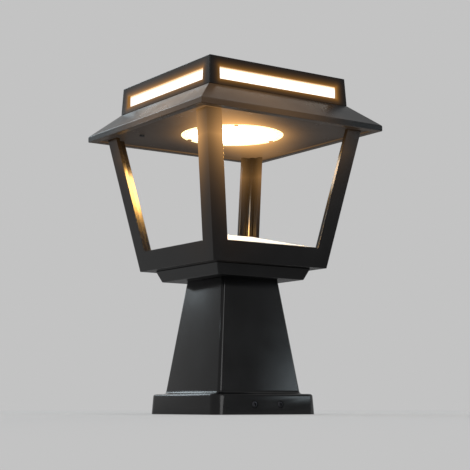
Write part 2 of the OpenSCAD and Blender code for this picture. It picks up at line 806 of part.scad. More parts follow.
module slot_cut() {
    translate([-slot_w / 2, -box_bot_w, slot_z - slot_h / 2]) cube([slot_w, 2 * box_bot_w, slot_h]);
}

module roof_box() color(coat) difference() {
    union() {
        difference() {
            translate([0, 0, box_z]) frustum(box_bot_w / 2, box_top_w / 2, box_h);
            translate([0, 0, box_z - cut])
                square_plate(box_cavity_w / 2, panel_ledge_z - panel_ledge_t - box_z + cut);
            translate([0, 0, box_z]) square_plate(box_cavity_w / 2 - panel_ledge_w, box_h);
            translate([0, 0, panel_ledge_z]) square_plate(box_cavity_w / 2, top_z - panel_ledge_z + cut);
            slot_cut();
            rotate([0, 0, 90]) slot_cut();
        }
        four_corners(box_boss_at) translate([0, 0, box_z]) cylinder(h = box_boss_h, r = box_boss_r);
    }
    four_corners(box_boss_at) translate([0, 0, box_z - cut])
        cylinder(h = box_boss_h - m4_r + cut, r = m4_r + fit);
}

module box_screws() color(steel)
    four_corners(box_boss_at) translate([0, 0, box_z - crown_t]) mirror([0, 0, 1])
        socket_screw(m4_r, crown_t + box_boss_h / 2, m4_head_r, m4_head_h);

// Side 0 is the front, then right, back and left
module slot_diffuser(side) color(warm_white) rotate([0, 0, 90 * side])
    translate([-slot_diffuser_w / 2, -box_cavity_w / 2, slot_z - slot_diffuser_h / 2])
        cube([slot_diffuser_w, slot_diffuser_t, slot_diffuser_h]);

module slot_strip(side) color(white) rotate([0, 0, 90 * side]) translate([0, -strip_back, slot_z]) {
    translate([-strip_w / 2, -strip_t, -strip_h / 2]) cube([strip_w, strip_t, strip_h]);
    for (k = [0:strip_chips - 1])
        translate([(k + 0.5 - strip_chips / 2) * strip_w / strip_chips - chip_w / 2,
                   -strip_t - chip_h, -chip_w / 2])
            cube([chip_w, chip_h + strip_t / 2, chip_w]);
}

// Electronics

module electronics_tray() color(white) {
    difference() {
        translate([0, 0, box_z]) union() {
            translate([-tray_half, tray_notch - tray_half, 0])
                cube([2 * tray_half, 2 * (tray_half - tray_notch), tray_t]);
            translate([tray_notch - tray_half, -tray_half, 0])
                cube([2 * (tray_half - tray_notch), 2 * tray_half, tray_t]);
        }
        four_sides() translate([tray_screw_at, 0, box_z - cut])
            cylinder(h = tray_t + 2 * cut, r = m3_r + hole_gap);
        translate([lamp_lead_x, lamp_lead_y, box_z - cut]) cylinder(h = tray_t + 2 * cut, r = lead_hole_r);
        translate([switch_lead_x, switch_lead_y, box_z - cut])
            cylinder(h = tray_t + 2 * cut, r = lead_hole_r);
    }
    four_sides() translate([-strip_back, -strip_back, tray_top_z - tray_t / 2])
        cube([2 * strip_back, upstand_t, upstand_h + tray_t / 2]);
    for (x = [-1, 1], y = [-1, 1])
        translate([x * (control_w / 2 - control_post_inset),
                   control_y + y * (control_d / 2 - control_post_inset), tray_top_z - tray_t / 2])
            cylinder(h = control_rise + tray_t / 2, r = control_post_r);
}

module tray_screws() color(steel)
    four_sides() translate([tray_screw_at, 0, tray_top_z]) pan_screw(tray_t + crown_t);

function cell_y(k) = cradle_y + (k - (cells_n - 1) / 2) * cell_pitch;

module battery_cradle() color(dark_steel) {
    w = cell_l + 2 * cell_nub_l + 2 * gap;
    d = cells_n * cell_pitch;
    difference() {
        translate([-w / 2, cradle_y - d / 2, tray_top_z]) cube([w, d, cradle_h]);
        for (k = [0:cells_n - 1]) translate([-w / 2 - cut, cell_y(k), battery_z]) rotate([0, 90, 0])
            cylinder(h = w + 2 * cut, r = cell_r + cradle_gap);
    }
    for (s = [-1, 1]) translate([s * (w + cradle_end_t) / 2 - cradle_end_t / 2, cradle_y - d / 2, tray_top_z])
        cube([cradle_end_t, d, cradle_end_h]);
}

module battery_cells() color(wrap_blue)
    for (k = [0:cells_n - 1]) translate([0, cell_y(k), battery_z]) rotate([0, 90, 0]) {
        cylinder(h = cell_l, r = cell_r, center = true);
        translate([0, 0, cell_l / 2]) cylinder(h = cell_nub_l, r = cell_nub_r);
    }

module control_board() color(board_green) {
    chip_shares = [[-0.28, 0.18, 0.16], [0.10, 0.24, 0.12], [-0.05, -0.22, 0.20], [0.34, 0.10, 0.10]];
    chip_rise = 3;
    translate([-control_w / 2, control_y - control_d / 2, control_z])
        cube([control_w, control_d, board_t]);
    for (c = chip_shares)
        translate([control_w * (c[0] - c[2] / 2), control_y + control_d * c[1] - control_w * c[2] / 2,
                   control_top_z - board_t / 2])
            cube([control_w * c[2], control_w * c[2], chip_rise + board_t / 2]);
}

// Solar panel

module panel_gasket() color(rubber) translate([0, 0, panel_ledge_z]) difference() {
    square_plate(panel_half, panel_gasket_t);
    translate([0, 0, -cut]) square_plate(panel_half - panel_ledge_w + gap, panel_gasket_t + 2 * cut);
}

module panel_board() color(white) translate([0, 0, panel_ledge_z + panel_gasket_t])
    square_plate(panel_half, panel_board_t);

module solar_cells() color(cell_blue) {
    w = 2 * (panel_half - panel_margin);
    pitch = [w / cell_columns, w / cell_rows];
    translate([-w / 2, -w / 2, panel_ledge_z + panel_gasket_t + panel_board_t])
        for (i = [0:cell_columns - 1], j = [0:cell_rows - 1])
            translate([i * pitch[0] + cell_gap / 2, j * pitch[1] + cell_gap / 2, 0])
                cube([pitch[0] - cell_gap, pitch[1] - cell_gap, cell_t]);
}

module solar_glass() color([0.35, 0.40, 0.50, 0.5])
    translate([0, 0, panel_ledge_z + panel_gasket_t + panel_board_t + cell_t])
        square_plate(panel_half, glass_t);

// Leads

module panel_lead() color("firebrick")
    lead([[panel_lead_x, control_y, control_top_z], [panel_lead_x, control_y, panel_ledge_z + panel_gasket_t]]);

module battery_lead() color("firebrick")
    lead([[cell_l / 2, cradle_y - cells_n * cell_pitch / 2, lead_run_z],
          [cell_l / 2, control_edge_y - control_post_r, lead_run_z],
          [cell_l / 2, control_edge_y - control_post_r, control_top_z]]);

module lamp_lead() color("gold")
    lead([[lamp_lead_x, lamp_lead_y, dish_roof_z], [lamp_lead_x, lamp_lead_y, lead_run_z],
          [lamp_lead_x, control_edge_y - control_post_r, lead_run_z],
          [lamp_lead_x, control_edge_y - control_post_r, control_top_z]]);

module switch_lead() color("gold") {
    start = [button_x, button_y - standoff_at / 2, switch_board_z + board_t];
    lead([start, start + [0, 0, 2 * lead_bend_r], [switch_lead_x, switch_lead_y, box_z - lead_hole_r],
          [switch_lead_x, switch_lead_y, lead_run_z],
          [switch_lead_x, control_edge_y - control_post_r, lead_run_z],
          [-control_w / 2 + control_post_r, control_edge_y - control_post_r, lead_run_z],
          [-control_w / 2 + control_post_r, control_edge_y - control_post_r, control_top_z]]);
}

mounting_plate();
foot_screws();
pedestal();
neck_collar();
neck_screws();
lantern_frame();
floor_reflector();
post_screws();
roof_skirt();
ceiling_gasket();
ceiling_plate();
ceiling_screws();
led_diffuser();
diffuser_screws();
lamp_dish();
dish_screws();
led_board();
led_chips();
motion_sensor();
mode_button();
switch_board();
roof_box();
box_screws();
slot_diffuser(0);  // slot_diffuser_front
slot_diffuser(1);  // slot_diffuser_right
slot_diffuser(2);  // slot_diffuser_back
slot_diffuser(3);  // slot_diffuser_left
slot_strip(0);  // slot_strip_front
slot_strip(1);  // slot_strip_right
slot_strip(2);  // slot_strip_back
slot_strip(3);  // slot_strip_left
electronics_tray();
tray_screws();
battery_cradle();
battery_cells();
control_board();
panel_gasket();
panel_board();
solar_cells();
solar_glass();
panel_lead();
battery_lead();
lamp_lead();
switch_lead();
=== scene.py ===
"""Dresses the solar pedestal lantern: each operator makes one group of its pieces."""

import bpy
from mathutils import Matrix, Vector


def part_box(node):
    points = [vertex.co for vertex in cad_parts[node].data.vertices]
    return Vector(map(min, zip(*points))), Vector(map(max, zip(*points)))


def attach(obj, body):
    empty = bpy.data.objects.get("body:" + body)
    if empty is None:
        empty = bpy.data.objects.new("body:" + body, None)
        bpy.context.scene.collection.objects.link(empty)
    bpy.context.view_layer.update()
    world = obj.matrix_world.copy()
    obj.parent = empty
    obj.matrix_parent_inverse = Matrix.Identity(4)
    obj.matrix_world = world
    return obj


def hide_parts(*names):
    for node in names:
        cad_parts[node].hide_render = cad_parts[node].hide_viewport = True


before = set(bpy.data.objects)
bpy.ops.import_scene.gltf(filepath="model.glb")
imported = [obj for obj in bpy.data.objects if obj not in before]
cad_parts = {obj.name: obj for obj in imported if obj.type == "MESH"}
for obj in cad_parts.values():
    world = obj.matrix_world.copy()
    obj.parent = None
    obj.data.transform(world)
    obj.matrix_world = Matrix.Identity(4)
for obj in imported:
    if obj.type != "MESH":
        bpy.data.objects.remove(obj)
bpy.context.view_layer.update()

import math

import bmesh
import bpy
from bpy.props import FloatProperty, FloatVectorProperty, IntProperty, PointerProperty
from mathutils import Matrix, Vector

bl_info = {
    "name": "Solar pedestal lantern",
    "version": (1, 0, 0),
    "blender": (4, 5, 0),
    "location": "View3D > Sidebar > Lantern",
    "description": "Makes the castings, lamp, roof slots, solar panel and electronics of a pedestal lantern",
    "category": "Object",
}

MM = 0.001
BODY = "lantern"
SIDES = ("front", "right", "back", "left")
SQUARE = ((-1, -1), (1, -1), (1, 1), (-1, 1))
UP = Vector((0, 0, 1))
DOWN = Vector((0, 0, -1))
UNTURNED = (0, 0, 0)
FULL_SIZE = (1, 1, 1)
BLACK = (0, 0, 0)

# The camera's place, direction and lens
CAMERA_PLACE = (-0.8308, -1.2084, 0.0105)
CAMERA_AIM = (0.5633, 0.8154, 0.1333)
CAMERA_LENS = 96.83
SENSOR_WIDTH = 36.0

# The stage: the point that the lights face, the light that reaches the floor, the floor's sizes and
# grain, the cards' grain, and the disc's bright spot in glossy surfaces
LIGHT_CENTRE = Vector((0, 0, 0.15))
FLOOR_LIGHT = 0.78
FLOOR_FADE = (0.3, 1.3)
FLOOR_RADIUS = 30.0
FLOOR_SPECKLE = 0.015
CARD_WEAVE = 0.03
MAT_LIFT = 1 * MM
GLEAM_SPOT = (-16 * MM, -22 * MM)
GLEAM_DROP = 1 * MM
GLEAM_TURN = math.radians(-53)

# Each soft light: its setting, the azimuths and elevations that it fills, in degrees, its distance,
# its colour, and the rays that miss it
COOL = (0.8, 0.93, 1.0)
NEUTRAL = (1.0, 1.0, 1.0)
SOFT_LIGHTS = (
    ("back", (88, 112), (24, 42), 3.0, COOL, ("glossy",)),
    ("edge", (96, 115), (24, 36), 8.0, COOL, ("diffuse",)),
    ("far", (60, 88), (10, 26), 3.2, NEUTRAL, ()),
    ("side", (111, 121), (15, 18), 3.0, COOL, ()),
    ("strip", (254, 286), (-2, 30), 2.5, NEUTRAL, ()),
    ("low", (311, 332), (3.5, 12.5), 2.0, COOL, ()),
    ("top", (250, 290), (60, 84), 3.0, NEUTRAL, ()),
)

# The lamps' warm light painted on the pieces near them. A ramp goes from one distance to another, and then
# come the light's shares at its two ends
POST_EDGE = (0, 26 * MM, 1, 3)
POST_FRONT = (-200 * MM, -60 * MM, 1, 0.06)
POST_BACK = (100 * MM, 180 * MM, 0, 0.34)
SKIRT_ALONG = (20 * MM, 115 * MM, 1, 0.55)
SKIRT_CORNER = (30 * MM, 160 * MM)
EAVE_EDGE = 1 * MM
LIP_DEPTH = (1 * MM, 2 * MM)
LIP_HEIGHT = (3 * MM, 4 * MM)
HALO_SHIFT = 15 * MM
HALO_SIDE = (-60 * MM, 60 * MM, 0.14, 0.28)
HALO_FRONT = (-90 * MM, 90 * MM, 0.95, 0.75)
HALO_NEAR = 12 * MM
HALO_FAR = 55 * MM
HALO_WIDTH = 42 * MM
LAMP_RIM = (46 * MM, 54 * MM)
SLOT_RIM = (3.5 * MM, 8 * MM)

# Meshes: vertices this near are one, faces this flat are one, the steps of a rounded edge, and how
# many edge radii wide its faces must be
JOIN = 0.002 * MM
FLAT = math.radians(0.4)
EDGE_STEPS = 3
WIDE_ENOUGH = 1.8

# Screws: head radius, head height and shank radius; the thread's radii as shares of the shank's;
# steps round a screw; and the depth of a socket's cone as a share of its width
M5_CAP = (4.25 * MM, 5 * MM, 2.5 * MM)
M4_CAP = (3.5 * MM, 4 * MM, 2 * MM)
M4_SUNK = (3.9 * MM, 2.2 * MM, 2 * MM)
M3_PAN = (2.75 * MM, 1.8 * MM, 1.5 * MM)
THREAD_TIP = 0.8
THREAD_ROOT = 0.84
THREAD_CREST = 0.985
SCREW_STEPS = 24
DRILL_POINT = 0.2

# Solar cells: how thick, how far from the cell's ends and how deep in it a busbar lies
BUSBAR_DEPTH = 0.08 * MM
BUSBAR_INSET = 1 * MM
BUSBAR_SINK = 0.07 * MM
BUSBAR_EDGE = 0.03 * MM
CELL_RECESS = 0.04 * MM

# Battery cells, in mm: insets from the radius and heights from the base; insets and heights from the
# shoulder; and the radii and heights of the cap
CELL_BASE = ((1.6, 0), (1.0, 0.1), (0.2, 0.4), (0, 1.2))
CELL_SHOULDER = ((0, -3), (0.3, -2.3), (0, -1.5), (0.3, -0.4), (1.2, 0), (2.2, -0.4))
CELL_CAP = ((3.1, -0.4), (2.9, 1.0), (2.6, 1.2), (0, 1.2))
CAP_HEIGHT = 1.2 * MM
BARE_INSET = 1.9 * MM

# Leads and seal: radius, joint at each turn of the CAD's leads, bends, the hole for the switch lead
LEAD_RADIUS = 1.1 * MM
LEAD_TURN = 1.25 * MM
LEAD_BEND = 4 * MM
SWITCH_LEAD_HOLE = (-72.5 * MM, 48 * MM)
SEAL_BEND = 4 * MM
SEAL_ROUNDING = 0.3 * MM
BEND_STEPS = 8
SECTION_STEPS = 4


# Sizes and colours

def setting(kind, **limits):
    """A function that makes settings of one kind, each with its name, description and default."""
    def made(name, description, default):
        return kind(name=name, description=description, default=default, **limits)
    return made


length = setting(FloatProperty, unit="LENGTH", precision=5)
share = setting(FloatProperty, min=0, max=1)
number = setting(FloatProperty)
count = setting(IntProperty, min=1)
tint = setting(FloatVectorProperty, subtype="COLOR", min=0, max=1)


class CoatSettings(bpy.types.PropertyGroup):
    colour: tint("Colour", "Colour of the black powder coat", (0.0035, 0.0035, 0.0038))
    roughness: share("Roughness", "How matt the coat is", 0.2)
    gloss: share("Gloss", "Specular level of the coat", 0.3)
    skirt_roughness: share("Skirt roughness", "How matt the roof skirt is", 0.3)
    skirt_gloss: share("Skirt gloss", "Specular level of the roof skirt", 0.3)
    ceiling_roughness: share("Ceiling roughness", "How matt the ceiling plate is", 0.5)
    ceiling_gloss: share("Ceiling gloss", "Specular level of the ceiling plate", 0.2)
    grain: length("Grain", "Size of the coat's fine grain", 0.6 * MM)
    edge: length("Edge radius", "Radius on the long edges of the castings", 0.8 * MM)
    fine_edge: length("Fine edge radius", "Radius on the edges of sheet parts", 0.4 * MM)


class GlowSettings(bpy.types.PropertyGroup):
    lamp: tint("Lamp", "Colour of the lit lamp diffuser", (1.0, 0.96, 0.88))
    lamp_rim: tint("Lamp rim", "Colour at the rim of the lit lamp diffuser", (0.19, 0.165, 0.07))
    lamp_strength: number("Lamp strength", "Brightness of the lamp diffuser", 9.5)
    slot: tint("Slot", "Colour of a lit roof slot", (1.0, 0.98, 0.94))
    slot_rim: tint("Slot rim", "Colour at the rim of a lit roof slot", (0.9, 0.45, 0.1))
    slot_strength: number("Slot strength", "Brightness of the roof slots", 1.05)
    slot_length: length("Slot length", "Length of each lit slot", 163 * MM)
    slot_height: length("Slot height", "Height of each lit slot", 13.7 * MM)
    # The fringe settings below set amber slot light that is painted on the box as emission
    fringe: number("Slot fringe", "Brightness of the amber fringe round the slots", 0.3)
    fringe_reach: length("Fringe reach", "How far the fringe reaches from a slot", 2.8 * MM)
    fringe_colour: tint("Fringe colour", "Colour of the fringe round the slots", (1.0, 0.43, 0.06))
    # The haze, underside, lip and ceiling settings below set warm lamp light that is painted on the coat as
    # emission
    haze: number("Lamp haze", "Brightness of the warm haze on the posts near the lamp", 0.26)
    haze_drop: length("Haze drop", "How far below the lamp the haze is strongest", 27 * MM)
    haze_reach: length("Haze reach", "How far up and down the haze reaches", 26 * MM)
    skirt_haze: number("Skirt haze", "Brightness of the slots' warm light on the skirt", 0.08)
    underside: number("Underside haze", "Brightness of the lamp's warm light under the eave", 0.02)
    lip: number("Lip haze", "Brightness of the lamp's warm light on the inside of the eave", 0.08)
    ceiling: tint("Ceiling", "Faint warm light all over the ceiling", (0.026, 0.02, 0.016))
    haze_colour: tint("Haze colour", "Colour of the warm haze near the lamp", (1.0, 0.5, 0.16))
    lip_colour: tint("Lip colour", "Colour of the lamp's light on the inside of the eave", (1.0, 0.62, 0.35))
    gleam: number("Gleam", "Brightness of the lit disc in glossy surfaces", 110.0)
    gleam_width: length("Gleam width", "Width of the disc's bright spot in glossy surfaces", 50 * MM)
    gleam_length: length("Gleam length", "Length of the disc's bright spot in glossy surfaces", 125 * MM)
    gleam_colour: tint("Gleam colour", "Colour of the lit disc in glossy surfaces", (1.0, 0.5, 0.11))


class PanelSettings(bpy.types.PropertyGroup):
    corner: length("Cell corner", "Cut corner of a solar cell", 2.2 * MM)
    busbars: count("Busbars", "Busbars on each solar cell", 3)
    busbar_width: length("Busbar width", "Width of a busbar", 1.0 * MM)
    finger_pitch: length("Finger pitch", "Distance between the fine fingers of a cell", 1.9 * MM)


class StageSettings(bpy.types.PropertyGroup):
    grey: number("Background grey", "Brightness of the plain background, where 1 is white", 0.546)
    ambient: number("Ambient", "Brightness of the soft light from all round", 0.5)
    floor_lit: share("Floor lit share", "Share of the floor's brightness that shows the shadow", 0.45)
    back: number("Back light", "Brightness of the soft light behind on the left", 6.0)
    edge: number("Edge light", "Brightness of the light behind that picks out the rounded edges", 8.0)
    far: number("Far light", "Brightness of the wide soft light behind", 0.75)
    side: number("Side light", "Brightness of the small soft light at the left", 4.0)
    strip: number("Strip light", "Brightness of the upright strip light in front", 3.0)
    low: number("Low light", "Brightness of the low soft light at the right", 5.0)
    top: number("Top light", "Brightness of the soft light overhead", 0.8)
    card: share("Dark card", "Brightness of the dark card at the right", 0.3)
    mat: share("Dark mat", "Brightness of the dark mat behind", 0.12)


SETTINGS = {"coat": CoatSettings, "glow": GlowSettings, "panel": PanelSettings, "stage": StageSettings}


def settings(group):
    return getattr(bpy.context.scene, "lantern_" + group)


# Nodes

def operation(name, flipped=False):
    """A method that adds one Math node, with its two terms the other way round where flipped."""
    def method(self, *others):
        terms = (*others, self) if flipped else (self, *others)
        return self.nodes.add("ShaderNodeMath", {"operation": name}, enumerate(terms))
    return method


class Value:
    """A socket that Python's operators extend with Math nodes."""

    def __init__(self, nodes, socket):
        self.nodes = nodes
        self.socket = socket

    __add__ = operation("ADD")
    __radd__ = operation("ADD", flipped=True)
    __sub__ = operation("SUBTRACT")
    __rsub__ = operation("SUBTRACT", flipped=True)
    __mul__ = operation("MULTIPLY")
    __truediv__ = operation("DIVIDE")
    __pow__ = operation("POWER")
    __mod__ = operation("FLOORED_MODULO")
    __lt__ = operation("LESS_THAN")
    __abs__ = operation("ABSOLUTE")
    atleast = operation("MAXIMUM")
    atmost = operation("MINIMUM")
    sine = operation("SINE")
    exponent = operation("EXPONENT")

    def beside(self, out):
        """Another output of the same node."""
        return Value(self.nodes, self.socket.node.outputs[out])

    def swing(self, size):
        """Noise from 0 to 1 as a change to either side of nothing."""
        return (self - 0.5) * size

    def ramp(self, low, high, to_low=0.0, to_high=1.0):
        """A smooth step from one value to another as this value goes from low to high."""
        return self.nodes.add("ShaderNodeMapRange", {"interpolation_type": "SMOOTHSTEP"}, {
            "Value": self, "From Min": low, "From Max": high, "To Min": to_low, "To Max": to_high})

    def spread(self, to_low=0.0, to_high=1.0):
        """The middle values of noise, where most of them lie, from one value to another."""
        return self.ramp(0.3, 0.7, to_low, to_high)


class Nodes:
    """A node tree under construction."""

    def __init__(self, tree):
        self.tree = tree

    def add(self, kind, node_settings=(), sockets=(), out=0):
        """Any node: its type, its settings, the values or links of its sockets, and the output wanted."""
        node = self.tree.nodes.new(kind)
        for key, value in dict(node_settings).items():
            setattr(node, key, value)
        for key, value in dict(sockets).items():
            socket = node.inputs[key]
            if isinstance(value, Value):
                self.tree.links.new(value.socket, socket)
            elif socket.type == "RGBA" and len(value) == 3:
                socket.default_value = (*value, 1)
            else:
                socket.default_value = value
        return Value(self, node.outputs[out]) if node.outputs else None


class Paint(Nodes):
    """One material, or the world, under construction."""

    def __init__(self, name, world=None):
        self.material = world or bpy.data.materials.new(name)
        self.material.use_nodes = True
        super().__init__(self.material.node_tree)
        self.tree.nodes.clear()
        self.place = None

    def coordinates(self):
        if self.place is None:
            self.place = self.add("ShaderNodeTexCoord", out="Object")
        return self.place

    def axes(self):
        """The three numbers of the place on the object."""
        first = self.add("ShaderNodeSeparateXYZ", sockets={0: self.coordinates()})
        return [first.beside(k) for k in range(3)]

    def attribute(self, name):
        return self.add("ShaderNodeAttribute", {"attribute_name": name}, out="Fac")

    def noise(self, feature, detail=2, roughness=0.5, vector=None):
        """Noise whose features are about one feature length across."""
        return self.add("ShaderNodeTexNoise", sockets={
            "Vector": vector or self.coordinates(), "Scale": 1 / feature, "Detail": detail,
            "Roughness": roughness})

    def streaks(self, scale, roughness):
        """Noise that is stretched by its scale along each axis."""
        vector = self.add("ShaderNodeMapping", sockets={"Vector": self.coordinates(), "Scale": scale})
        return self.noise(1.0, 3, roughness, vector)

    def cell_edges(self, size):
        """How far a place lies from the borders of random cells of that size, in cell sizes."""
        return self.add("ShaderNodeTexVoronoi", {"feature": "DISTANCE_TO_EDGE"},
                        {"Vector": self.coordinates(), "Scale": 1 / size}, "Distance")

    def mix(self, factor, first, second):
        return self.add("ShaderNodeMix", {"data_type": "RGBA", "clamp_factor": True},
                        {0: factor, 6: first, 7: second}, 2)

    def varied(self, colour, amount, feature):
        """A colour that drifts a little lighter and darker over the piece."""
        low = tuple(c * (1 - amount) for c in colour)
        high = tuple(min(1, c * (1 + amount)) for c in colour)
        return self.mix(self.noise(feature, detail=3).spread(), low, high)

    def bump(self, height, depth, strength):
        return self.add("ShaderNodeBump", sockets={"Strength": strength, "Distance": depth, "Height": height})

    def surface(self, **sockets):
        """Ends the material in one Principled surface, with sockets named in lower case."""
        named = {key.replace("_", " ").title().replace("Ior", "IOR"): value for key, value in sockets.items()}
        self.end(self.add("ShaderNodeBsdfPrincipled", sockets=named))
        return self.material

    def skin(self, grain, roughness, swing, depth, strength, **sockets):
        """A surface whose roughness swings with a fine grain, and whose bumps follow it."""
        bumps = self.bump(grain, depth, strength)
        return self.surface(roughness=roughness + grain.swing(swing), normal=bumps, **sockets)

    def end(self, shader, kind="ShaderNodeOutputMaterial"):
        self.add(kind, sockets={"Surface": shader})

    def rays(self, *kinds):
        """1 where the ray that looks is one of these kinds, such as "Camera"."""
        first = self.add("ShaderNodeLightPath")
        masks = [first.beside("Is " + kind + " Ray") for kind in kinds]
        for mask in masks[1:]:
            masks[0] = masks[0].atleast(mask)
        return masks[0]

    def emission(self, colour, strength=1.0):
        return self.add("ShaderNodeEmission", sockets={"Color": colour, "Strength": strength})

    def either(self, factor, first, second):
        """The second shader where the factor is 1, and the first where it is 0."""
        return self.add("ShaderNodeMixShader", sockets={0: factor, 1: first, 2: second})


# Painted light of the lamps on the pieces near them

def fading(away, reach):
    """1 where the distance is nothing, and less and less beyond."""
    return (away * (-1 / reach)).exponent()


def distance(x, y):
    return (x * x + y * y) ** 0.5


def middle_height(node):
    low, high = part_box(node)
    return (low.z + high.z) / 2


def out_and_along(x, y):
    """How far out a side's face lies, and how far along the side from its middle."""
    return abs(x).atleast(abs(y)), abs(x).atmost(abs(y))


def frame_glow(paint):
    """Painted warm haze of the lit disc on the posts, strongest at one corner and at the window edges."""
    glow = settings("glow")
    x, y, z = paint.axes()
    out, along = out_and_along(x, y)
    level = abs(z - (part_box("led_diffuser")[0].z - glow.haze_drop))
    corner = (x + y).ramp(*POST_FRONT) + (x + y).ramp(*POST_BACK)
    haze = fading(level, glow.haze_reach) * (out - along).ramp(*POST_EDGE) * corner * glow.haze
    return paint.mix(haze, BLACK, glow.haze_colour)


def skirt_glow(paint):
    """Painted warm light of the slots on the skirt below them, and of the disc under the eave and on the
    inside of it.
    """
    glow = settings("glow")
    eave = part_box("roof_skirt")[0].z
    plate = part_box("ceiling_plate")[1].x
    x, y, z = paint.axes()
    out, along = out_and_along(x, y)
    above = z.ramp(eave, eave + EAVE_EDGE)
    inside = out.ramp(plate + LIP_DEPTH[0], plate + LIP_DEPTH[1], 1, 0)
    inner = above * inside * z.ramp(eave + LIP_HEIGHT[0], eave + LIP_HEIGHT[1], 1, 0)
    side = along.ramp(*SKIRT_ALONG) * abs(x + y).ramp(*SKIRT_CORNER)
    upper = paint.mix(above * side * glow.skirt_haze, BLACK, glow.haze_colour)
    return paint.mix((1 - above) * glow.underside + inner * glow.lip, upper, glow.lip_colour)


def box_glow(paint):
    """Painted amber light of the roof slots on the box round each slot."""
    glow = settings("glow")
    x, y, z = paint.axes()
    beside = (out_and_along(x, y)[1] - glow.slot_length / 2).atleast(0)
    over = (abs(z - middle_height("slot_diffuser_front")) - glow.slot_height / 2).atleast(0)
    fringe = fading(distance(beside, over), glow.fringe_reach) * glow.fringe
    return paint.mix(fringe, BLACK, glow.fringe_colour)


def ceiling_halo(paint):
    """Painted warm glow on the ceiling round the lamp, over a fainter painted warm glow all over."""
    glow = settings("glow")
    x, y = paint.axes()[:2]
    beyond = (distance(x, y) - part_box("led_diffuser")[1].x).atleast(0)
    across = x - y - HALO_SHIFT
    near = fading(beyond, HALO_NEAR) * across.ramp(*HALO_SIDE)
    band = fading(across * across, 2 * HALO_WIDTH ** 2)
    wide = fading(beyond, HALO_FAR) * band * (x + y).ramp(*HALO_FRONT)
    return paint.mix(near + wide, glow.ceiling, glow.haze_colour)


def lamp_edge(paint):
    x, y = paint.axes()[:2]
    return distance(x, y).ramp(*LAMP_RIM)


def slot_edge(paint):
    """From the middle of a slot to its rim, over its height."""
    height = paint.axes()[2]
    return abs(height - middle_height("slot_diffuser_front")).ramp(*SLOT_RIM)


def lit(paint, halo):
    """The emission sockets of painted lamp light on a finish. halo(paint) gives its colour, if there is any.
    """
    return {"emission_color": halo(paint), "emission_strength": 1.0} if halo else {}


# Finishes

def coat_finish(name, halo=None, kind=""):
    """Black satin powder coat of a kind in the settings, with painted lamp light on it where halo gives it.
    """
    coat = settings("coat")
    matt = getattr(coat, kind + "roughness")
    paint = Paint(name)
    grain = paint.noise(coat.grain) * 0.6 + paint.noise(coat.grain * 5) * 0.4
    flow = paint.noise(45 * MM, detail=3).spread(matt - 0.03, matt + 0.03)
    return paint.skin(grain, roughness=flow, swing=0.06, depth=0.03 * MM, strength=0.3,
                      base_color=paint.varied(coat.colour, amount=0.22, feature=28 * MM),
                      specular_ior_level=getattr(coat, kind + "gloss"), **lit(paint, halo))


def metal_finish(name, colour, roughness, halo=None):
    """Plain metal with fine tool marks, and painted lamp light on it where halo gives it."""
    paint = Paint(name)
    marks = paint.streaks(scale=(40, 900, 900), roughness=0.6)
    blotched = roughness + paint.noise(6 * MM, detail=3).swing(0.12)
    return paint.skin(marks, roughness=blotched, swing=0.16, depth=0.02 * MM, strength=0.4,
                      base_color=paint.varied(colour, amount=0.10, feature=9 * MM), metallic=1.0,
                      **lit(paint, halo))


def cast_finish(name, colour):
    """Bare cast aluminium with a sandy skin."""
    paint = Paint(name)
    sand = paint.noise(0.5 * MM, detail=3, roughness=0.6)
    return paint.skin(sand, roughness=0.46, swing=0.2, depth=0.08 * MM, strength=0.5,
                      base_color=paint.varied(colour, amount=0.12, feature=12 * MM), metallic=1.0)


def plastic_finish(name, colour, roughness, grain=0.5 * MM, level=0.5):
    """Moulded plastic with a fine spark-eroded texture."""
    paint = Paint(name)
    flow = paint.noise(22 * MM).spread(roughness - 0.03, roughness + 0.05)
    return paint.skin(paint.noise(grain), roughness=flow, swing=0.06, depth=0.03 * MM, strength=0.4,
                      base_color=paint.varied(colour, amount=0.05, feature=18 * MM), specular_ior_level=level)


def rubber_finish(name, colour):
    """Soft black rubber with paler dust on it."""
    paint = Paint(name)
    dust = paint.noise(7 * MM, detail=4).ramp(0.55, 0.8)
    dusty = tuple(c * 2.2 + 0.01 for c in colour)
    skin = paint.noise(0.4 * MM, detail=3)
    return paint.skin(skin, roughness=0.74, swing=0.12, depth=0.05 * MM, strength=0.5,
                      base_color=paint.mix(dust, colour, dusty), specular_ior_level=0.35)


def opal_finish(name, part, edge):
    """Opal diffuser, lit as the part's settings say. edge(paint) is 0 in the middle and 1 at the rim."""
    core, rim, strength = [getattr(settings("glow"), part + end) for end in ("", "_rim", "_strength")]
    paint = Paint(name)
    return paint.skin(paint.noise(3 * MM), roughness=0.34, swing=0.06, depth=0.02 * MM, strength=0.2,
                      base_color=paint.varied((0.86, 0.85, 0.8), amount=0.03, feature=15 * MM),
                      emission_color=paint.mix(edge(paint), core, rim), emission_strength=strength)


def board_finish(name, mask_colour, glint):
    """Solder mask with buried tracks and a fibre weave."""
    paint = Paint(name)
    x, y = paint.axes()[:2]
    tracks = paint.cell_edges(5 * MM) < 0.06
    wave = 2 * math.pi / (0.9 * MM)
    weave = (x * wave).sine() * (y * wave).sine()
    lighter = tuple(min(1, c * glint) for c in mask_colour)
    return paint.surface(base_color=paint.mix(tracks * 0.7, mask_colour, lighter),
                         roughness=0.32 + weave * 0.02,
                         normal=paint.bump(weave * 0.3 + tracks, depth=0.03 * MM, strength=0.4))


def chip_finish():
    """Light-emitting chip: white moulded body, yellow phosphor where the mesh says so."""
    paint = Paint("Light chip")
    window = paint.attribute("window")
    speck = paint.noise(0.3 * MM)
    return paint.surface(
        base_color=paint.mix(window, (0.8, 0.79, 0.75), (0.86, 0.62, 0.08)),
        roughness=0.4 + speck.swing(0.1),
        emission_color=paint.mix(window, BLACK, (1.0, 0.72, 0.35)), emission_strength=1.5)


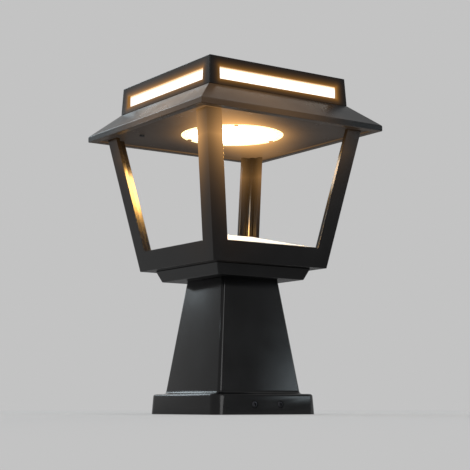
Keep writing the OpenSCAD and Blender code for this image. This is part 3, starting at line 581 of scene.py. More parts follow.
def silicon_finish():
    """Mono-crystalline cell: dark blue-black with fine silver fingers across it."""
    paint = Paint("Solar silicon")
    x = paint.axes()[0]
    finger = abs((x / settings("panel").finger_pitch) % 1.0 - 0.5) < 0.03
    drift = paint.noise(30 * MM, detail=3)
    base = paint.mix(drift.spread(), (0.006, 0.010, 0.030), (0.012, 0.018, 0.050))
    return paint.surface(base_color=paint.mix(finger, base, (0.07, 0.08, 0.10)), metallic=finger * 0.6,
                         roughness=0.24 + finger * 0.2 + drift.swing(0.08))


def glass_finish():
    """Clear toughened glass, faintly tinted, with a whisper of dust."""
    paint = Paint("Panel glass")
    dust = paint.noise(20 * MM, detail=4).ramp(0.5, 0.8)
    return paint.surface(base_color=paint.mix(dust, (0.93, 0.97, 0.97), (0.86, 0.88, 0.87)),
                         roughness=0.03 + dust * 0.05, transmission_weight=1.0, ior=1.5)


def wrap_finish():
    """Shrink sleeve of a battery cell, with wrinkles near the ends."""
    paint = Paint("Cell wrap")
    near_ends = abs(paint.axes()[0]).ramp(26 * MM, 33 * MM)
    wrinkle = paint.streaks(scale=(250, 1200, 1200), roughness=0.5) * near_ends
    bare = paint.attribute("bare")
    return paint.surface(base_color=paint.mix(bare, (0.03, 0.16, 0.42), (0.62, 0.62, 0.6)), metallic=bare,
                         roughness=0.28 + wrinkle * 0.2,
                         normal=paint.bump(wrinkle, depth=0.1 * MM, strength=0.5))


def lead_finish(name, colour):
    """Smooth insulation of a lead."""
    paint = Paint(name)
    return paint.skin(paint.noise(0.7 * MM), roughness=0.42, swing=0.1, depth=0.02 * MM, strength=0.4,
                      base_color=paint.varied(colour, amount=0.12, feature=5 * MM))


def busbar_finish():
    """Ribbon with uneven tin on it."""
    paint = Paint("Tinned ribbon")
    solder = paint.noise(2.5 * MM, detail=3)
    return paint.skin(solder, roughness=0.3, swing=0.3, depth=0.05 * MM, strength=0.5,
                      base_color=paint.varied((0.62, 0.62, 0.6), amount=0.1, feature=4 * MM), metallic=1.0)


# Each finish: the function that makes it, and what the function is given
MAKERS = {
    "coat": (coat_finish, "Black powder coat"),
    # Finishes given a halo function carry painted lamp light as emission
    "frame_coat_painted_haze": (coat_finish, "Black powder coat, near the lamp", frame_glow),
    "skirt_coat_painted_glow": (coat_finish, "Black powder coat, under the slots", skirt_glow, "skirt_"),
    "box_coat_painted_fringe": (coat_finish, "Black powder coat, round the slots", box_glow),
    "ceiling_coat_painted_halo": (coat_finish, "Black powder coat, lamplit", ceiling_halo, "ceiling_"),
    "plated_steel": (metal_finish, "Zinc plated steel", (0.58, 0.58, 0.56), 0.34),
    "black_screws": (metal_finish, "Black oxide steel", (0.03, 0.03, 0.033), 0.4),
    "screws_painted_halo": (metal_finish, "Black oxide steel, lamplit", (0.05, 0.05, 0.055), 0.5, ceiling_halo),
    "reflector_white": (plastic_finish, "White reflector", (0.84, 0.84, 0.83), 0.6, 0.7 * MM, 0.1),
    "lamp_opal": (opal_finish, "Lamp opal", "lamp", lamp_edge),
    "slot_opal": (opal_finish, "Slot opal", "slot", slot_edge),
    "rubber": (rubber_finish, "Gasket rubber", (0.02, 0.02, 0.02)),
    "button_rubber": (rubber_finish, "Button rubber", (0.035, 0.035, 0.035)),
    "heat_sink": (cast_finish, "Cast heat sink", (0.62, 0.63, 0.64)),
    "led_board_white": (board_finish, "White lamp board", (0.78, 0.79, 0.77), 0.9),
    "led_chip": (chip_finish,),
    "board_green": (board_finish, "Green board", (0.012, 0.11, 0.045), 1.9),
    "tray_plastic": (plastic_finish, "Tray plastic", (0.55, 0.55, 0.52), 0.5),
    "cradle_plastic": (plastic_finish, "Cradle plastic", (0.03, 0.03, 0.032), 0.45),
    "cell_wrap": (wrap_finish,),
    "solar_silicon": (silicon_finish,),
    "panel_glass": (glass_finish,),
    "busbar": (busbar_finish,),
    "lead_red": (lead_finish, "Red lead", (0.42, 0.015, 0.012)),
    "lead_yellow": (lead_finish, "Yellow lead", (0.68, 0.42, 0.02)),
}

FINISHES = {}


def finish(name):
    """The finish of that name, made the first time it is asked for."""
    if name not in FINISHES:
        maker, *given = MAKERS[name]
        FINISHES[name] = maker(*given)
    return FINISHES[name]


# Mesh helpers

def add_object(name, data):
    thing = bpy.data.objects.new(name, data)
    bpy.context.scene.collection.objects.link(thing)
    return thing


def new_piece(name, mesh, finish_name, *nodes, body=BODY):
    """Puts a finished mesh in the scene as a named piece that stands for the CAD nodes given."""
    piece = add_object(name, mesh)
    mesh.materials.clear()
    mesh.materials.append(finish(finish_name))
    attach(piece, body)
    if nodes:
        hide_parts(*nodes)
    return piece


def mesh_from(name, bm, sharp_degrees=32):
    """A mesh from a bmesh, smooth but for its sharp edges."""
    limit = math.radians(sharp_degrees)
    for face in bm.faces:
        face.smooth = True
    for edge in bm.edges:
        edge.smooth = not (len(edge.link_faces) == 2 and edge.calc_face_angle(0) > limit)
    mesh = bpy.data.meshes.new(name)
    bm.to_mesh(mesh)
    bm.free()
    return mesh


def evaluated_mesh(piece):
    """A plain mesh of an object with its modifiers applied. The object is removed."""
    bpy.context.view_layer.update()
    mesh = bpy.data.meshes.new_from_object(piece.evaluated_get(bpy.context.evaluated_depsgraph_get()))
    bpy.data.objects.remove(piece)
    return mesh


def joined(mesh):
    """A bmesh of a mesh with its loose triangles joined."""
    bm = bmesh.new()
    bm.from_mesh(mesh)
    bmesh.ops.remove_doubles(bm, verts=bm.verts, dist=JOIN)
    return bm


def soften(node, finish_name, radius, shortest=10 * MM, corner_degrees=24, body=BODY):
    """Replaces a CAD node by its own solid with a small radius on its long edges."""
    bm = joined(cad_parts[node].data)
    bmesh.ops.dissolve_limit(bm, angle_limit=FLAT, verts=bm.verts, edges=bm.edges)
    weight = bm.edges.layers.float.new("bevel_weight_edge")
    for edge in bm.edges:
        run = edge.calc_length()
        if run < shortest or len(edge.link_faces) != 2:
            continue
        wide = min(face.calc_area() for face in edge.link_faces) / run
        if wide > WIDE_ENOUGH * radius and edge.calc_face_angle(0) > math.radians(corner_degrees):
            edge[weight] = 1.0
    piece = add_object(node + "_draft", mesh_from(node + "_draft", bm))
    bevel = piece.modifiers.new("Edge radius", "BEVEL")
    bevel.limit_method = "WEIGHT"
    bevel.width = radius
    bevel.segments = EDGE_STEPS
    bevel.use_clamp_overlap = False
    bevel.harden_normals = True
    bevel.miter_outer = "MITER_SHARP"
    return new_piece("soft_" + node, evaluated_mesh(piece), finish_name, node, body=body)


def solid_boxes(node):
    """The lowest and highest corner of each separate solid in a CAD node, in a steady order."""
    bm = joined(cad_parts[node].data)
    seen = set()
    boxes = []
    for vert in bm.verts:
        if vert in seen:
            continue
        group = []
        queue = [vert]
        seen.add(vert)
        while queue:
            here = queue.pop()
            group.append(here.co.copy())
            for edge in here.link_edges:
                other = edge.other_vert(here)
                if other not in seen:
                    seen.add(other)
                    queue.append(other)
        boxes.append([Vector([pick(co[k] for co in group) for k in range(3)]) for pick in (min, max)])
    bm.free()
    return sorted(boxes, key=lambda box: tuple(round(c, 5) for c in box[0]))


def middles(boxes):
    """Places for repeat in the middle of boxes, unturned."""
    return [(tuple((low + high) / 2), UNTURNED, FULL_SIZE) for low, high in boxes]


def lathe(bm, outline, steps, matrix=None):
    """A turned shape from (radius, height) pairs that start on the axis. Gives back its vertices."""
    rings = []
    for radius, height in outline:
        angles = [2 * math.pi * k / steps for k in range(steps if radius else 1)]
        rings.append([bm.verts.new((radius * math.cos(a), radius * math.sin(a), height)) for a in angles])
    for low, high in zip(rings, rings[1:]):
        for k in range(steps):
            n = k + 1
            corners = (low[k % len(low)], low[n % len(low)], high[n % len(high)], high[k % len(high)])
            different = list(dict.fromkeys(corners))
            if len(different) > 2:
                bm.faces.new(different)
    verts = [vert for ring in rings for vert in ring]
    if matrix is not None:
        bmesh.ops.transform(bm, matrix=matrix, verts=verts)
    return verts


def block(bm, low, high, radius):
    """A box between two corners, with its edges cut off by a radius."""
    size = [h - l for l, h in zip(low, high)]
    centre = [(l + h) / 2 for l, h in zip(low, high)]
    place = Matrix.Translation(centre) @ Matrix.Diagonal((*size, 1))
    made = bmesh.ops.create_cube(bm, size=1.0, matrix=place)
    edges = {edge for vert in made["verts"] for edge in vert.link_edges}
    bmesh.ops.bevel(bm, geom=list(edges), offset=radius, segments=1, profile=0.5, affect="EDGES")


# Repeats and sweeps

def geometry_tree(name, inputs, build):
    """The geometry tree of that name. build(nodes, start) adds its nodes the first time."""
    if name in bpy.data.node_groups:
        return bpy.data.node_groups[name]
    tree = bpy.data.node_groups.new(name, "GeometryNodeTree")
    for label, kind in {**inputs, "Finish": "Material"}.items():
        tree.interface.new_socket(label, in_out="INPUT", socket_type="NodeSocket" + kind)
    tree.interface.new_socket("Made", in_out="OUTPUT", socket_type="NodeSocketGeometry")
    nodes = Nodes(tree)
    start = nodes.add("NodeGroupInput")
    real = nodes.add("GeometryNodeRealizeInstances", sockets={"Geometry": build(nodes, start)})
    painted = nodes.add("GeometryNodeSetMaterial", sockets={
        "Geometry": real, "Material": start.beside("Finish")})
    nodes.add("NodeGroupOutput", sockets={"Made": painted})
    return tree


def parts_on_points(nodes, start):
    """A copy of a part on each point, turned and scaled as the point says."""
    part = nodes.add("GeometryNodeObjectInfo", sockets={"Object": start.beside("Part")}, out="Geometry")
    turn, size = [nodes.add("GeometryNodeInputNamedAttribute", {"data_type": "FLOAT_VECTOR"}, {"Name": name})
                  for name in ("turn", "size")]
    return nodes.add("GeometryNodeInstanceOnPoints", sockets={
        "Points": start.beside("Points"), "Instance": part, "Rotation": turn, "Scale": size})


def section_along_path(nodes, start):
    """A rounded section swept along a path, with smooth bends."""
    def rounded(curve, radius, steps):
        return nodes.add("GeometryNodeFilletCurve", {"mode": "POLY"}, {
            "Curve": curve, "Radius": start.beside(radius), "Count": steps, "Limit Radius": True})

    path = nodes.add("GeometryNodeMeshToCurve", sockets={"Mesh": start.beside("Path")})
    section = nodes.add("GeometryNodeCurvePrimitiveQuadrilateral", sockets={
        "Width": start.beside("Width"), "Height": start.beside("Height")})
    swept = nodes.add("GeometryNodeCurveToMesh", sockets={
        "Curve": rounded(path, "Bend", BEND_STEPS), "Fill Caps": True,
        "Profile Curve": rounded(section, "Rounding", SECTION_STEPS)})
    return nodes.add("GeometryNodeSetShadeSmooth", sockets={"Geometry": swept})


def run_tree(tree, mesh, values):
    """Runs a geometry tree once on a mesh with its named inputs, and gives back the plain mesh."""
    holder = add_object("draft", mesh)
    modifier = holder.modifiers.new("Geometry", "NODES")
    modifier.node_group = tree
    for item in tree.interface.items_tree:
        if item.name in values:
            modifier[item.identifier] = values[item.name]
    return evaluated_mesh(holder)


def repeat(name, part_mesh, places, finish_name, *nodes):
    """One piece out of many like parts. A place is (position, turn, size)."""
    points = bpy.data.meshes.new(name + "_points")
    points.from_pydata([place[0] for place in places], [], [])
    for index, key in ((1, "turn"), (2, "size")):
        values = points.attributes.new(key, "FLOAT_VECTOR", "POINT")
        values.data.foreach_set("vector", [c for place in places for c in place[index]])
    part = add_object(name + "_part", part_mesh)
    tree = geometry_tree("Parts on points", {"Points": "Geometry", "Part": "Object"}, parts_on_points)
    made = run_tree(tree, points, {"Part": part, "Finish": finish(finish_name)})
    bpy.data.objects.remove(part)
    for key in {"turn", "size"} & set(made.attributes.keys()):
        made.attributes.remove(made.attributes[key])
    return new_piece(name, made, finish_name, *nodes)


def sweep(node, points, closed, width, height, rounding, bend, finish_name):
    """Replaces a CAD node by a section swept along a path."""
    path = bpy.data.meshes.new(node + "_path")
    edges = [(k, (k + 1) % len(points)) for k in range(len(points) if closed else len(points) - 1)]
    path.from_pydata(points, edges, [])
    sizes = {"Width": width, "Height": height, "Rounding": rounding, "Bend": bend}
    tree = geometry_tree("Section along a path", {"Path": "Geometry", **dict.fromkeys(sizes, "Float")},
                         section_along_path)
    bm = joined(run_tree(tree, path, {**sizes, "Finish": finish(finish_name)}))
    bmesh.ops.recalc_face_normals(bm, faces=bm.faces)
    return new_piece("swept_" + node, mesh_from(node, bm, sharp_degrees=50), finish_name, node)


# Screws

def hex_socket(bm, outer, width, top, depth):
    """Fills the top of a turned head between its last ring and a hexagon socket with a coned floor."""
    steps = len(outer)
    per = steps // 6
    reach = width / math.sqrt(3)
    angles = [math.pi / 3 * k for k in range(6)]
    hexagon = [Vector((reach * math.cos(a), reach * math.sin(a), top)) for a in angles]
    rim = []
    for k in range(steps):
        corner = hexagon[k // per]
        rim.append(bm.verts.new(corner.lerp(hexagon[(k // per + 1) % 6], (k % per) / per)))
    low = [bm.verts.new(vert.co - Vector((0, 0, depth))) for vert in rim]
    tip = bm.verts.new((0, 0, top - depth - width * DRILL_POINT))
    for k in range(steps):
        n = (k + 1) % steps
        bm.faces.new((outer[k], outer[n], rim[n], rim[k]))
        bm.faces.new((rim[k], rim[n], low[n], low[k]))
        bm.faces.new((low[k], low[n], tip))


def screw_mesh(name, outline, socket_width, socket_depth):
    """A screw along Z with its head's top face outwards: a turned outline, then a hexagon socket."""
    bm = bmesh.new()
    bottom = outline[0][1]
    top = outline[-1][1]
    verts = lathe(bm, [(0, bottom), *outline], SCREW_STEPS)
    hex_socket(bm, verts[-SCREW_STEPS:], socket_width, top, socket_depth)
    bmesh.ops.recalc_face_normals(bm, faces=bm.faces)
    return mesh_from(name, bm, sharp_degrees=40)


def thread(radius, low, high, pitch=0.7 * MM):
    """Ridges of a screw thread between two heights, as an outline."""
    turns = max(1, int((high - low) / pitch))
    outline = [(radius * THREAD_TIP, low)]
    for k in range(turns):
        base = low + (high - low) * k / turns
        outline += [(radius * THREAD_ROOT, base + 0.1 * pitch), (radius * THREAD_CREST, base + 0.5 * pitch)]
    return outline + [(radius * THREAD_ROOT, high)]


def cap_screw(name, radius, shank, head_radius, head):
    """A socket head cap screw. The underside of its head is at height 0."""
    r = 0.25 * MM
    return screw_mesh(name, thread(radius, -shank, -0.6 * MM) + [
        (radius, 0), (head_radius - r, 0), (head_radius, r), (head_radius, head - 2 * r),
        (head_radius - 0.6 * r, head - 0.6 * r), (head_radius - 2 * r, head)], radius * 1.5, head * 0.55)


def pan_head_screw(name, radius, shank, head_radius, head):
    """A low rounded socket screw. The underside of its head is at height 0."""
    return screw_mesh(name, thread(radius, -shank, -0.5 * MM, 0.5 * MM) + [
        (radius, 0), (head_radius * 0.97, 0), (head_radius, head * 0.18), (head_radius * 0.97, head * 0.5),
        (head_radius * 0.86, head * 0.8), (head_radius * 0.68, head)], radius * 1.33, head * 0.6)


def sunk_screw(name, radius, shank, head_radius, head):
    """A countersunk socket screw. The face of its head is at height 0."""
    return screw_mesh(name, thread(radius, -shank, -head) + [
        (radius, -head), (head_radius * 0.985, -0.25 * MM), (head_radius, -0.1 * MM),
        (head_radius * 0.97, 0)], radius * 1.2, head * 0.55)


def turn_to(axis):
    """Euler turn that takes +Z to an axis."""
    return tuple(Vector(axis).to_track_quat("Z", "Y").to_euler())


def screw_group(node, maker, sizes, axis_of, finish_name):
    """Replaces a CAD group of screws by detailed ones in the same places."""
    head_radius, head, radius = sizes
    places = []
    for low, high in solid_boxes(node):
        centre = (low + high) / 2
        axis = axis_of(centre)
        near, far = sorted((low.dot(axis), high.dot(axis)))
        level = far if maker is sunk_screw else far - head
        places.append((tuple(centre + axis * (level - centre.dot(axis))), turn_to(axis), FULL_SIZE))
    mesh = maker(node + "_part", radius, level - near, head_radius, head)
    return repeat("detailed_" + node, mesh, places, finish_name, node)


def upward(centre):
    return UP


def downward(centre):
    return DOWN


def outward(centre):
    """The way out through the front or the back, whichever is nearer."""
    return Vector((0, math.copysign(1, centre.y), 0))


# Operators

class LANTERN_OT_stage(bpy.types.Operator):
    """Makes the floor, the soft lights, the plain background and the camera"""
    bl_idname = "lantern.stage"
    bl_label = "Stage, lights and camera"
    bl_options = {"REGISTER", "UNDO"}

    def execute(self, context):
        stage = settings("stage")
        self.camera(context)
        self.background(context, stage)
        self.floor(stage)
        for key, azimuths, elevations, away, colour, unseen in SOFT_LIGHTS:
            place, turn, wide, high = self.window(azimuths, elevations, away)
            power = getattr(stage, key) * math.pi * wide * high
            name = key.title() + " light"
            self.area_light(name, "RECTANGLE", (wide, high), power, colour, place, turn, unseen)
        upright = self.panel(azimuths=(288, 340), elevations=(-4, 45), away=2.6)
        self.dark_card("Upright_card", upright, stage.card)
        self.dark_card("Front_mat", self.mat(azimuths=(285, 342), reach=(0.2, 2.4)), stage.card)
        self.dark_card("Back_mat", self.mat(azimuths=(35, 82), reach=(0.2, 3.0)), stage.mat)
        self.lamp_gleam()
        return {"FINISHED"}

    def camera(self, context):
        data = bpy.data.cameras.new("Camera")
        data.sensor_width = SENSOR_WIDTH
        data.lens = CAMERA_LENS
        camera = add_object("Camera", data)
        camera.location = CAMERA_PLACE
        camera.rotation_euler = Vector(CAMERA_AIM).to_track_quat("-Z", "Y").to_euler()
        context.scene.camera = camera

    def background(self, context, stage):
        """A plain grey that the camera, gloss and glass see, and soft light for the rest."""
        context.scene.view_settings.view_transform = "Standard"
        context.scene.world = bpy.data.worlds.new("Studio")
        sky = Paint("Studio", context.scene.world)
        soft = sky.add("ShaderNodeBackground", sockets={"Color": (1, 1, 1), "Strength": stage.ambient})
        grey = sky.add("ShaderNodeBackground", sockets={"Color": (stage.grey,) * 3, "Strength": 1.0})
        sky.end(sky.either(sky.rays("Camera", "Glossy", "Transmission"), soft, grey), "ShaderNodeOutputWorld")

    def floor(self, stage):
        """A wide plain floor that shows the background's grey with the object's shadow on it."""
        bm = bmesh.new()
        bmesh.ops.create_circle(bm, cap_ends=True, radius=FLOOR_RADIUS, segments=64)
        paint = Paint("Pale floor")
        tone = stage.grey * stage.floor_lit / FLOOR_LIGHT
        colour = self.mottled(paint, tone, FLOOR_SPECKLE, feature=0.4, detail=3)
        shaded = paint.add("ShaderNodeBsdfDiffuse", sockets={"Color": colour})
        plain = paint.either(paint.rays("Camera", "Glossy"), paint.emission(BLACK, 0.0),
                             paint.emission((stage.grey,) * 3, 1 - stage.floor_lit))
        near = paint.add("ShaderNodeAddShader", sockets={0: shaded, 1: plain})
        x, y = paint.axes()[:2]
        paint.end(paint.either(distance(x, y).ramp(*FLOOR_FADE), near, paint.emission((stage.grey,) * 3)))
        self.stand("Floor", bm, paint)

    def mottled(self, paint, tone, amount, feature, detail):
        """A grey that is a little darker and lighter from place to place."""
        return paint.mix(paint.noise(feature, detail), (tone * (1 - amount),) * 3, (tone * (1 + amount),) * 3)

    def stand(self, name, bm, paint):
        """Puts a floor or backdrop in the scene that isn't part of the object."""
        backdrop = add_object(name, mesh_from(name, bm))
        backdrop.data.materials.append(paint.material)
        return backdrop

    def hide(self, thing, *rays):
        """Makes a thing invisible to these kinds of ray."""
        for ray in rays:
            setattr(thing, "visible_" + ray, False)

    def dark_card(self, name, corners, shade):
        """A dark flat card that only reflections see."""
        bm = bmesh.new()
        bm.faces.new([bm.verts.new(corner) for corner in corners])
        paint = Paint(name)
        paint.end(paint.emission(self.mottled(paint, shade, CARD_WEAVE, feature=0.3, detail=2)))
        self.hide(self.stand(name, bm, paint), "camera", "diffuse", "shadow", "transmission")

    def window(self, azimuths, elevations, away):
        """Place, turn, width and height of a flat panel that fills a window of directions.

        Azimuths are degrees from the object's right side.
        """
        azimuth = math.radians(sum(azimuths) / 2)
        elevation = math.radians(sum(elevations) / 2)
        level = math.cos(elevation)
        toward = Vector((math.cos(azimuth) * level, math.sin(azimuth) * level, math.sin(elevation)))
        wide = 2 * away * level * math.tan(math.radians(azimuths[1] - azimuths[0]) / 2)
        high = 2 * away * math.tan(math.radians(elevations[1] - elevations[0]) / 2)
        return toward * away + LIGHT_CENTRE, (-toward).to_track_quat("-Z", "Y").to_euler(), wide, high

    def panel(self, azimuths, elevations, away):
        """Corners of an upright panel that fills a window of directions."""
        place, turn, wide, high = self.window(azimuths, elevations, away)
        spread = Matrix.LocRotScale(place, turn, (wide / 2, high / 2, 1))
        return [spread @ Vector((x, y, 0)) for x, y in SQUARE]

    def mat(self, azimuths, reach):
        """Corners of a mat on the floor, between two directions and two distances."""
        first, last = [Vector((math.cos(a), math.sin(a), 0)) for a in map(math.radians, azimuths)]
        near, far = reach
        return [ray + UP * MAT_LIFT for ray in (first * near, first * far, last * far, last * near)]

    def area_light(self, name, shape, size, power, colour, place, turn, unseen):
        """A flat light that the camera and the rays named unseen don't see."""
        data = bpy.data.lights.new(name, "AREA")
        data.shape = shape
        data.size, data.size_y = size
        data.energy = power
        data.color = colour
        light = add_object(name, data)
        light.location = place
        light.rotation_euler = turn
        self.hide(light, "camera", *unseen)

    def lamp_gleam(self):
        """The lit disc as glossy surfaces see it, far brighter than a picture can show."""
        glow = settings("glow")
        size = (glow.gleam_length, glow.gleam_width)
        power = glow.gleam * math.pi * math.pi * glow.gleam_length * glow.gleam_width / 4
        place = (*GLEAM_SPOT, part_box("led_diffuser")[0].z - GLEAM_DROP)
        self.area_light("Lamp gleam", "ELLIPSE", size, power, glow.gleam_colour, place, (0, 0, GLEAM_TURN),
                        ("diffuse", "transmission"))


class LANTERN_OT_castings(bpy.types.Operator):
    """Makes the pedestal, collar, frame and roof with softened edges"""
    bl_idname = "lantern.castings"
    bl_label = "Castings"
    bl_options = {"REGISTER", "UNDO"}

    def execute(self, context):
        coat = settings("coat")
        soften("pedestal", "coat", coat.fine_edge, shortest=30 * MM, corner_degrees=50)
        soften("neck_collar", "coat", coat.edge)
        soften("lantern_frame", "frame_coat_painted_haze", coat.fine_edge)
        soften("roof_skirt", "skirt_coat_painted_glow", coat.edge)
        soften("roof_box", "box_coat_painted_fringe", coat.edge)
        soften("ceiling_plate", "ceiling_coat_painted_halo", coat.fine_edge, shortest=60 * MM)
        soften("mounting_plate", "plated_steel", coat.fine_edge, shortest=20 * MM)
        soften("floor_reflector", "reflector_white", coat.fine_edge)
        return {"FINISHED"}


class LANTERN_OT_screws(bpy.types.Operator):
    """Makes every screw, with threads and hexagon sockets"""
    bl_idname = "lantern.screws"
    bl_label = "Screws"
    bl_options = {"REGISTER", "UNDO"}

    def execute(self, context):
        screw_group("foot_screws", cap_screw, M4_CAP, outward, "black_screws")
        screw_group("neck_screws", cap_screw, M5_CAP, upward, "plated_steel")
        screw_group("post_screws", cap_screw, M4_CAP, upward, "plated_steel")
        screw_group("box_screws", cap_screw, M4_CAP, downward, "plated_steel")
        screw_group("ceiling_screws", sunk_screw, M4_SUNK, downward, "screws_painted_halo")
        screw_group("diffuser_screws", pan_head_screw, M3_PAN, downward, "screws_painted_halo")
        screw_group("dish_screws", pan_head_screw, M3_PAN, upward, "plated_steel")
        screw_group("tray_screws", pan_head_screw, M3_PAN, upward, "plated_steel")
        return {"FINISHED"}


class LANTERN_OT_lamp(bpy.types.Operator):
    """Makes the lamp: diffuser, heat sink, board, chips and sensor"""
    bl_idname = "lantern.lamp"
    bl_label = "Lamp"
    bl_options = {"REGISTER", "UNDO"}

    def execute(self, context):
        soften("led_diffuser", "lamp_opal", radius=0.3 * MM, shortest=200 * MM)
        places = [(tuple((low + high) / 2), turn_to(DOWN), tuple(high - low))
                  for low, high in solid_boxes("led_chips")]
        repeat("detailed_led_chips", self.chip("light_chip"), places, "led_chip", "led_chips")
        for node, finish_name in (("lamp_dish", "heat_sink"), ("led_board", "led_board_white"),
                                  ("motion_sensor", "board_green")):
            soften(node, finish_name, radius=0.2 * MM, shortest=3 * MM)
        return {"FINISHED"}

    def chip(self, name):
        """A chip in a box of side 1 round the origin, with its window upwards."""
        bm = bmesh.new()
        window = bm.verts.layers.float.new("window")
        block(bm, (-0.5, -0.5, -0.5), (0.5, 0.5, 0.4), radius=0.05)
        for vert in lathe(bm, [(0, 0.3), (0.36, 0.3), (0.36, 0.44), (0.30, 0.5), (0, 0.5)], steps=16):
            vert[window] = 1.0
        bmesh.ops.recalc_face_normals(bm, faces=bm.faces)
        return mesh_from(name, bm)


class LANTERN_OT_roof_slots(bpy.types.Operator):
    """Makes the four lit slots of the roof and the strips behind them"""
    bl_idname = "lantern.roof_slots"
    bl_label = "Roof slots"
    bl_options = {"REGISTER", "UNDO"}

    def execute(self, context):
        for side in SIDES:
            soften("slot_diffuser_" + side, "slot_opal", radius=0.3 * MM, shortest=2 * MM)
            soften("slot_strip_" + side, "led_board_white", radius=0.1 * MM, shortest=0.7 * MM)
        return {"FINISHED"}


class LANTERN_OT_solar_panel(bpy.types.Operator):
    """Makes the solar panel: cells, busbars, glass, board and seal"""
    bl_idname = "lantern.solar_panel"
    bl_label = "Solar panel"
    bl_options = {"REGISTER", "UNDO"}

    def execute(self, context):
        panel = settings("panel")
        boxes = solid_boxes("solar_cells")
        size = boxes[0][1] - boxes[0][0]
        repeat("crystal_cells", self.cell(size, panel.corner), middles(boxes), "solar_silicon", "solar_cells")
        self.busbars(boxes, size, panel)
        soften("solar_glass", "panel_glass", radius=0.4 * MM, shortest=1.5 * MM)
        soften("panel_board", "led_board_white", radius=0.1 * MM, shortest=0.6 * MM)
        self.seal("panel_gasket")
        soften("ceiling_gasket", "rubber", radius=0.2 * MM, shortest=60 * MM)
        return {"FINISHED"}

    def cell(self, size, corner):
        """One cell with its corners cut off, round the origin."""
        x, y, z = size / 2
        outline = [(x - corner, -y), (x, corner - y), (x, y - corner), (x - corner, y),
                   (corner - x, y), (-x, y - corner), (-x, corner - y), (corner - x, -y)]
        bm = bmesh.new()
        base = bm.faces.new([bm.verts.new((px, py, -z)) for px, py in outline])
        top = bmesh.ops.extrude_face_region(bm, geom=[base])
        verts = [part for part in top["geom"] if isinstance(part, bmesh.types.BMVert)]
        bmesh.ops.translate(bm, vec=(0, 0, 2 * z - CELL_RECESS), verts=verts)
        bmesh.ops.recalc_face_normals(bm, faces=bm.faces)
        return mesh_from("crystal_cell", bm)

    def busbars(self, boxes, size, panel):
        """Flat ribbons along each cell, evenly spaced over its width."""
        bm = bmesh.new()
        x = size.x / 2 - BUSBAR_INSET
        y = panel.busbar_width / 2
        block(bm, (-x, -y, 0), (x, y, BUSBAR_DEPTH), BUSBAR_EDGE)
        places = []
        for (mx, my, mz), turn, full in middles(boxes):
            for k in range(panel.busbars):
                offset = ((k + 0.5) / panel.busbars - 0.5) * size.y
                places.append(((mx, my + offset, mz + size.z / 2 - BUSBAR_SINK), turn, full))
        repeat("busbars", mesh_from("busbar", bm), places, "busbar")

    def seal(self, node):
        """A flat seal that follows the four sides of the panel."""
        low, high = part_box(node)
        inner = min(max(abs(vert.co.x), abs(vert.co.y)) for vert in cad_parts[node].data.vertices)
        middle = (high.x + inner) / 2
        square = [(x * middle, y * middle, middle_height(node)) for x, y in SQUARE]
        sweep(node, square, True, high.x - inner, high.z - low.z, SEAL_ROUNDING, SEAL_BEND, "rubber")


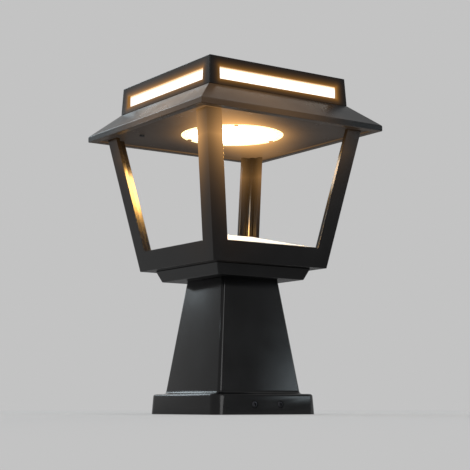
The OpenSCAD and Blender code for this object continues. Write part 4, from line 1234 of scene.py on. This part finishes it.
class LANTERN_OT_electronics(bpy.types.Operator):
    """Makes the tray, the battery, the boards and the leads"""
    bl_idname = "lantern.electronics"
    bl_label = "Electronics"
    bl_options = {"REGISTER", "UNDO"}

    def execute(self, context):
        for node, finish_name in (("electronics_tray", "tray_plastic"), ("battery_cradle", "cradle_plastic"),
                                  ("control_board", "board_green"), ("switch_board", "board_green")):
            soften(node, finish_name, radius=0.25 * MM, shortest=1.5 * MM)
        self.cells_of_the_battery()
        for node, points in self.routes().items():
            finish_name = "lead_red" if node in ("panel_lead", "battery_lead") else "lead_yellow"
            sweep(node, points, False, 2 * LEAD_RADIUS, 2 * LEAD_RADIUS, LEAD_RADIUS, LEAD_BEND, finish_name)
        return {"FINISHED"}

    def cells_of_the_battery(self):
        """Round cells with a sleeve, a shoulder and a cap, lying along X."""
        boxes = solid_boxes("battery_cells")
        low, high = boxes[0]
        radius = (high.y - low.y) / 2
        half = (high.x - low.x) / 2
        shoulder = half - CAP_HEIGHT
        outline = [(0, -half)]
        outline += [(radius - inset * MM, height * MM - half) for inset, height in CELL_BASE]
        outline += [(radius - inset * MM, height * MM + shoulder) for inset, height in CELL_SHOULDER]
        outline += [(cap * MM, height * MM + shoulder) for cap, height in CELL_CAP]
        bm = bmesh.new()
        bare = bm.verts.layers.float.new("bare")
        lathe(bm, outline, steps=48, matrix=Matrix.Rotation(math.pi / 2, 4, "Y"))
        for vert in bm.verts:
            if math.hypot(vert.co.y, vert.co.z) < radius - BARE_INSET:
                vert[bare] = 1.0
        bmesh.ops.recalc_face_normals(bm, faces=bm.faces)
        cell = mesh_from("battery_cell", bm)
        repeat("wrapped_battery_cells", cell, middles(boxes), "cell_wrap", "battery_cells")

    def routes(self):
        """The points that each lead follows, in the order in which the leads are made."""
        low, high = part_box("battery_lead")
        end = low.z
        edge = low.y + LEAD_TURN
        level = high.z - LEAD_TURN
        x = (low.x + high.x) / 2
        battery = [(x, high.y, level), (x, edge, level), (x, edge, end)]
        low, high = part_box("panel_lead")
        x, y = ((low + high) / 2).xy
        panel = [(x, y, low.z), (x, y, high.z)]
        low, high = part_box("lamp_lead")
        x = (low.x + high.x) / 2
        y = high.y - LEAD_TURN
        lamp = [(x, y, low.z), (x, y, level), (x, edge, level), (x, edge, end)]
        low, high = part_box("switch_lead")
        x = low.x + LEAD_TURN
        y = high.y - LEAD_TURN
        last = high.x - LEAD_TURN
        up, along = SWITCH_LEAD_HOLE
        switch = [(x, y, low.z), (x, y, low.z + 2 * LEAD_TURN),
                  (up, along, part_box("roof_box")[0].z - 2 * LEAD_RADIUS),
                  (up, along, level), (up, edge, level), (last, edge, level), (last, edge, end)]
        return {"battery_lead": battery, "panel_lead": panel, "lamp_lead": lamp, "switch_lead": switch}


class LANTERN_OT_button(bpy.types.Operator):
    """Makes the rubber mode button"""
    bl_idname = "lantern.button"
    bl_label = "Mode button"
    bl_options = {"REGISTER", "UNDO"}

    def execute(self, context):
        soften("mode_button", "button_rubber", radius=0.3 * MM, shortest=900 * MM, body="button")
        return {"FINISHED"}


OPERATORS = (LANTERN_OT_stage, LANTERN_OT_castings, LANTERN_OT_screws, LANTERN_OT_lamp, LANTERN_OT_roof_slots,
             LANTERN_OT_solar_panel, LANTERN_OT_electronics, LANTERN_OT_button)


class LANTERN_PT_sidebar(bpy.types.Panel):
    """Lists the lantern's operators and sizes"""
    bl_idname = "LANTERN_PT_sidebar"
    bl_label = "Pedestal lantern"
    bl_space_type = "VIEW_3D"
    bl_region_type = "UI"
    bl_category = "Lantern"

    def draw(self, context):
        for operator in OPERATORS:
            self.layout.operator(operator.bl_idname)
        for group, kind in SETTINGS.items():
            box = self.layout.box()
            box.label(text=group.title())
            for key in kind.__annotations__:
                box.prop(settings(group), key)


def register():
    for kind in (*SETTINGS.values(), *OPERATORS, LANTERN_PT_sidebar):
        bpy.utils.register_class(kind)
    for group, kind in SETTINGS.items():
        setattr(bpy.types.Scene, "lantern_" + group, PointerProperty(type=kind))


def unregister():
    for group in SETTINGS:
        delattr(bpy.types.Scene, "lantern_" + group)
    for kind in (LANTERN_PT_sidebar, *reversed(OPERATORS), *reversed(SETTINGS.values())):
        bpy.utils.unregister_class(kind)


def main():
    register()
    for operator in OPERATORS:
        group, name = operator.bl_idname.split(".")
        getattr(getattr(bpy.ops, group), name)()


if __name__ == "__main__":
    main()
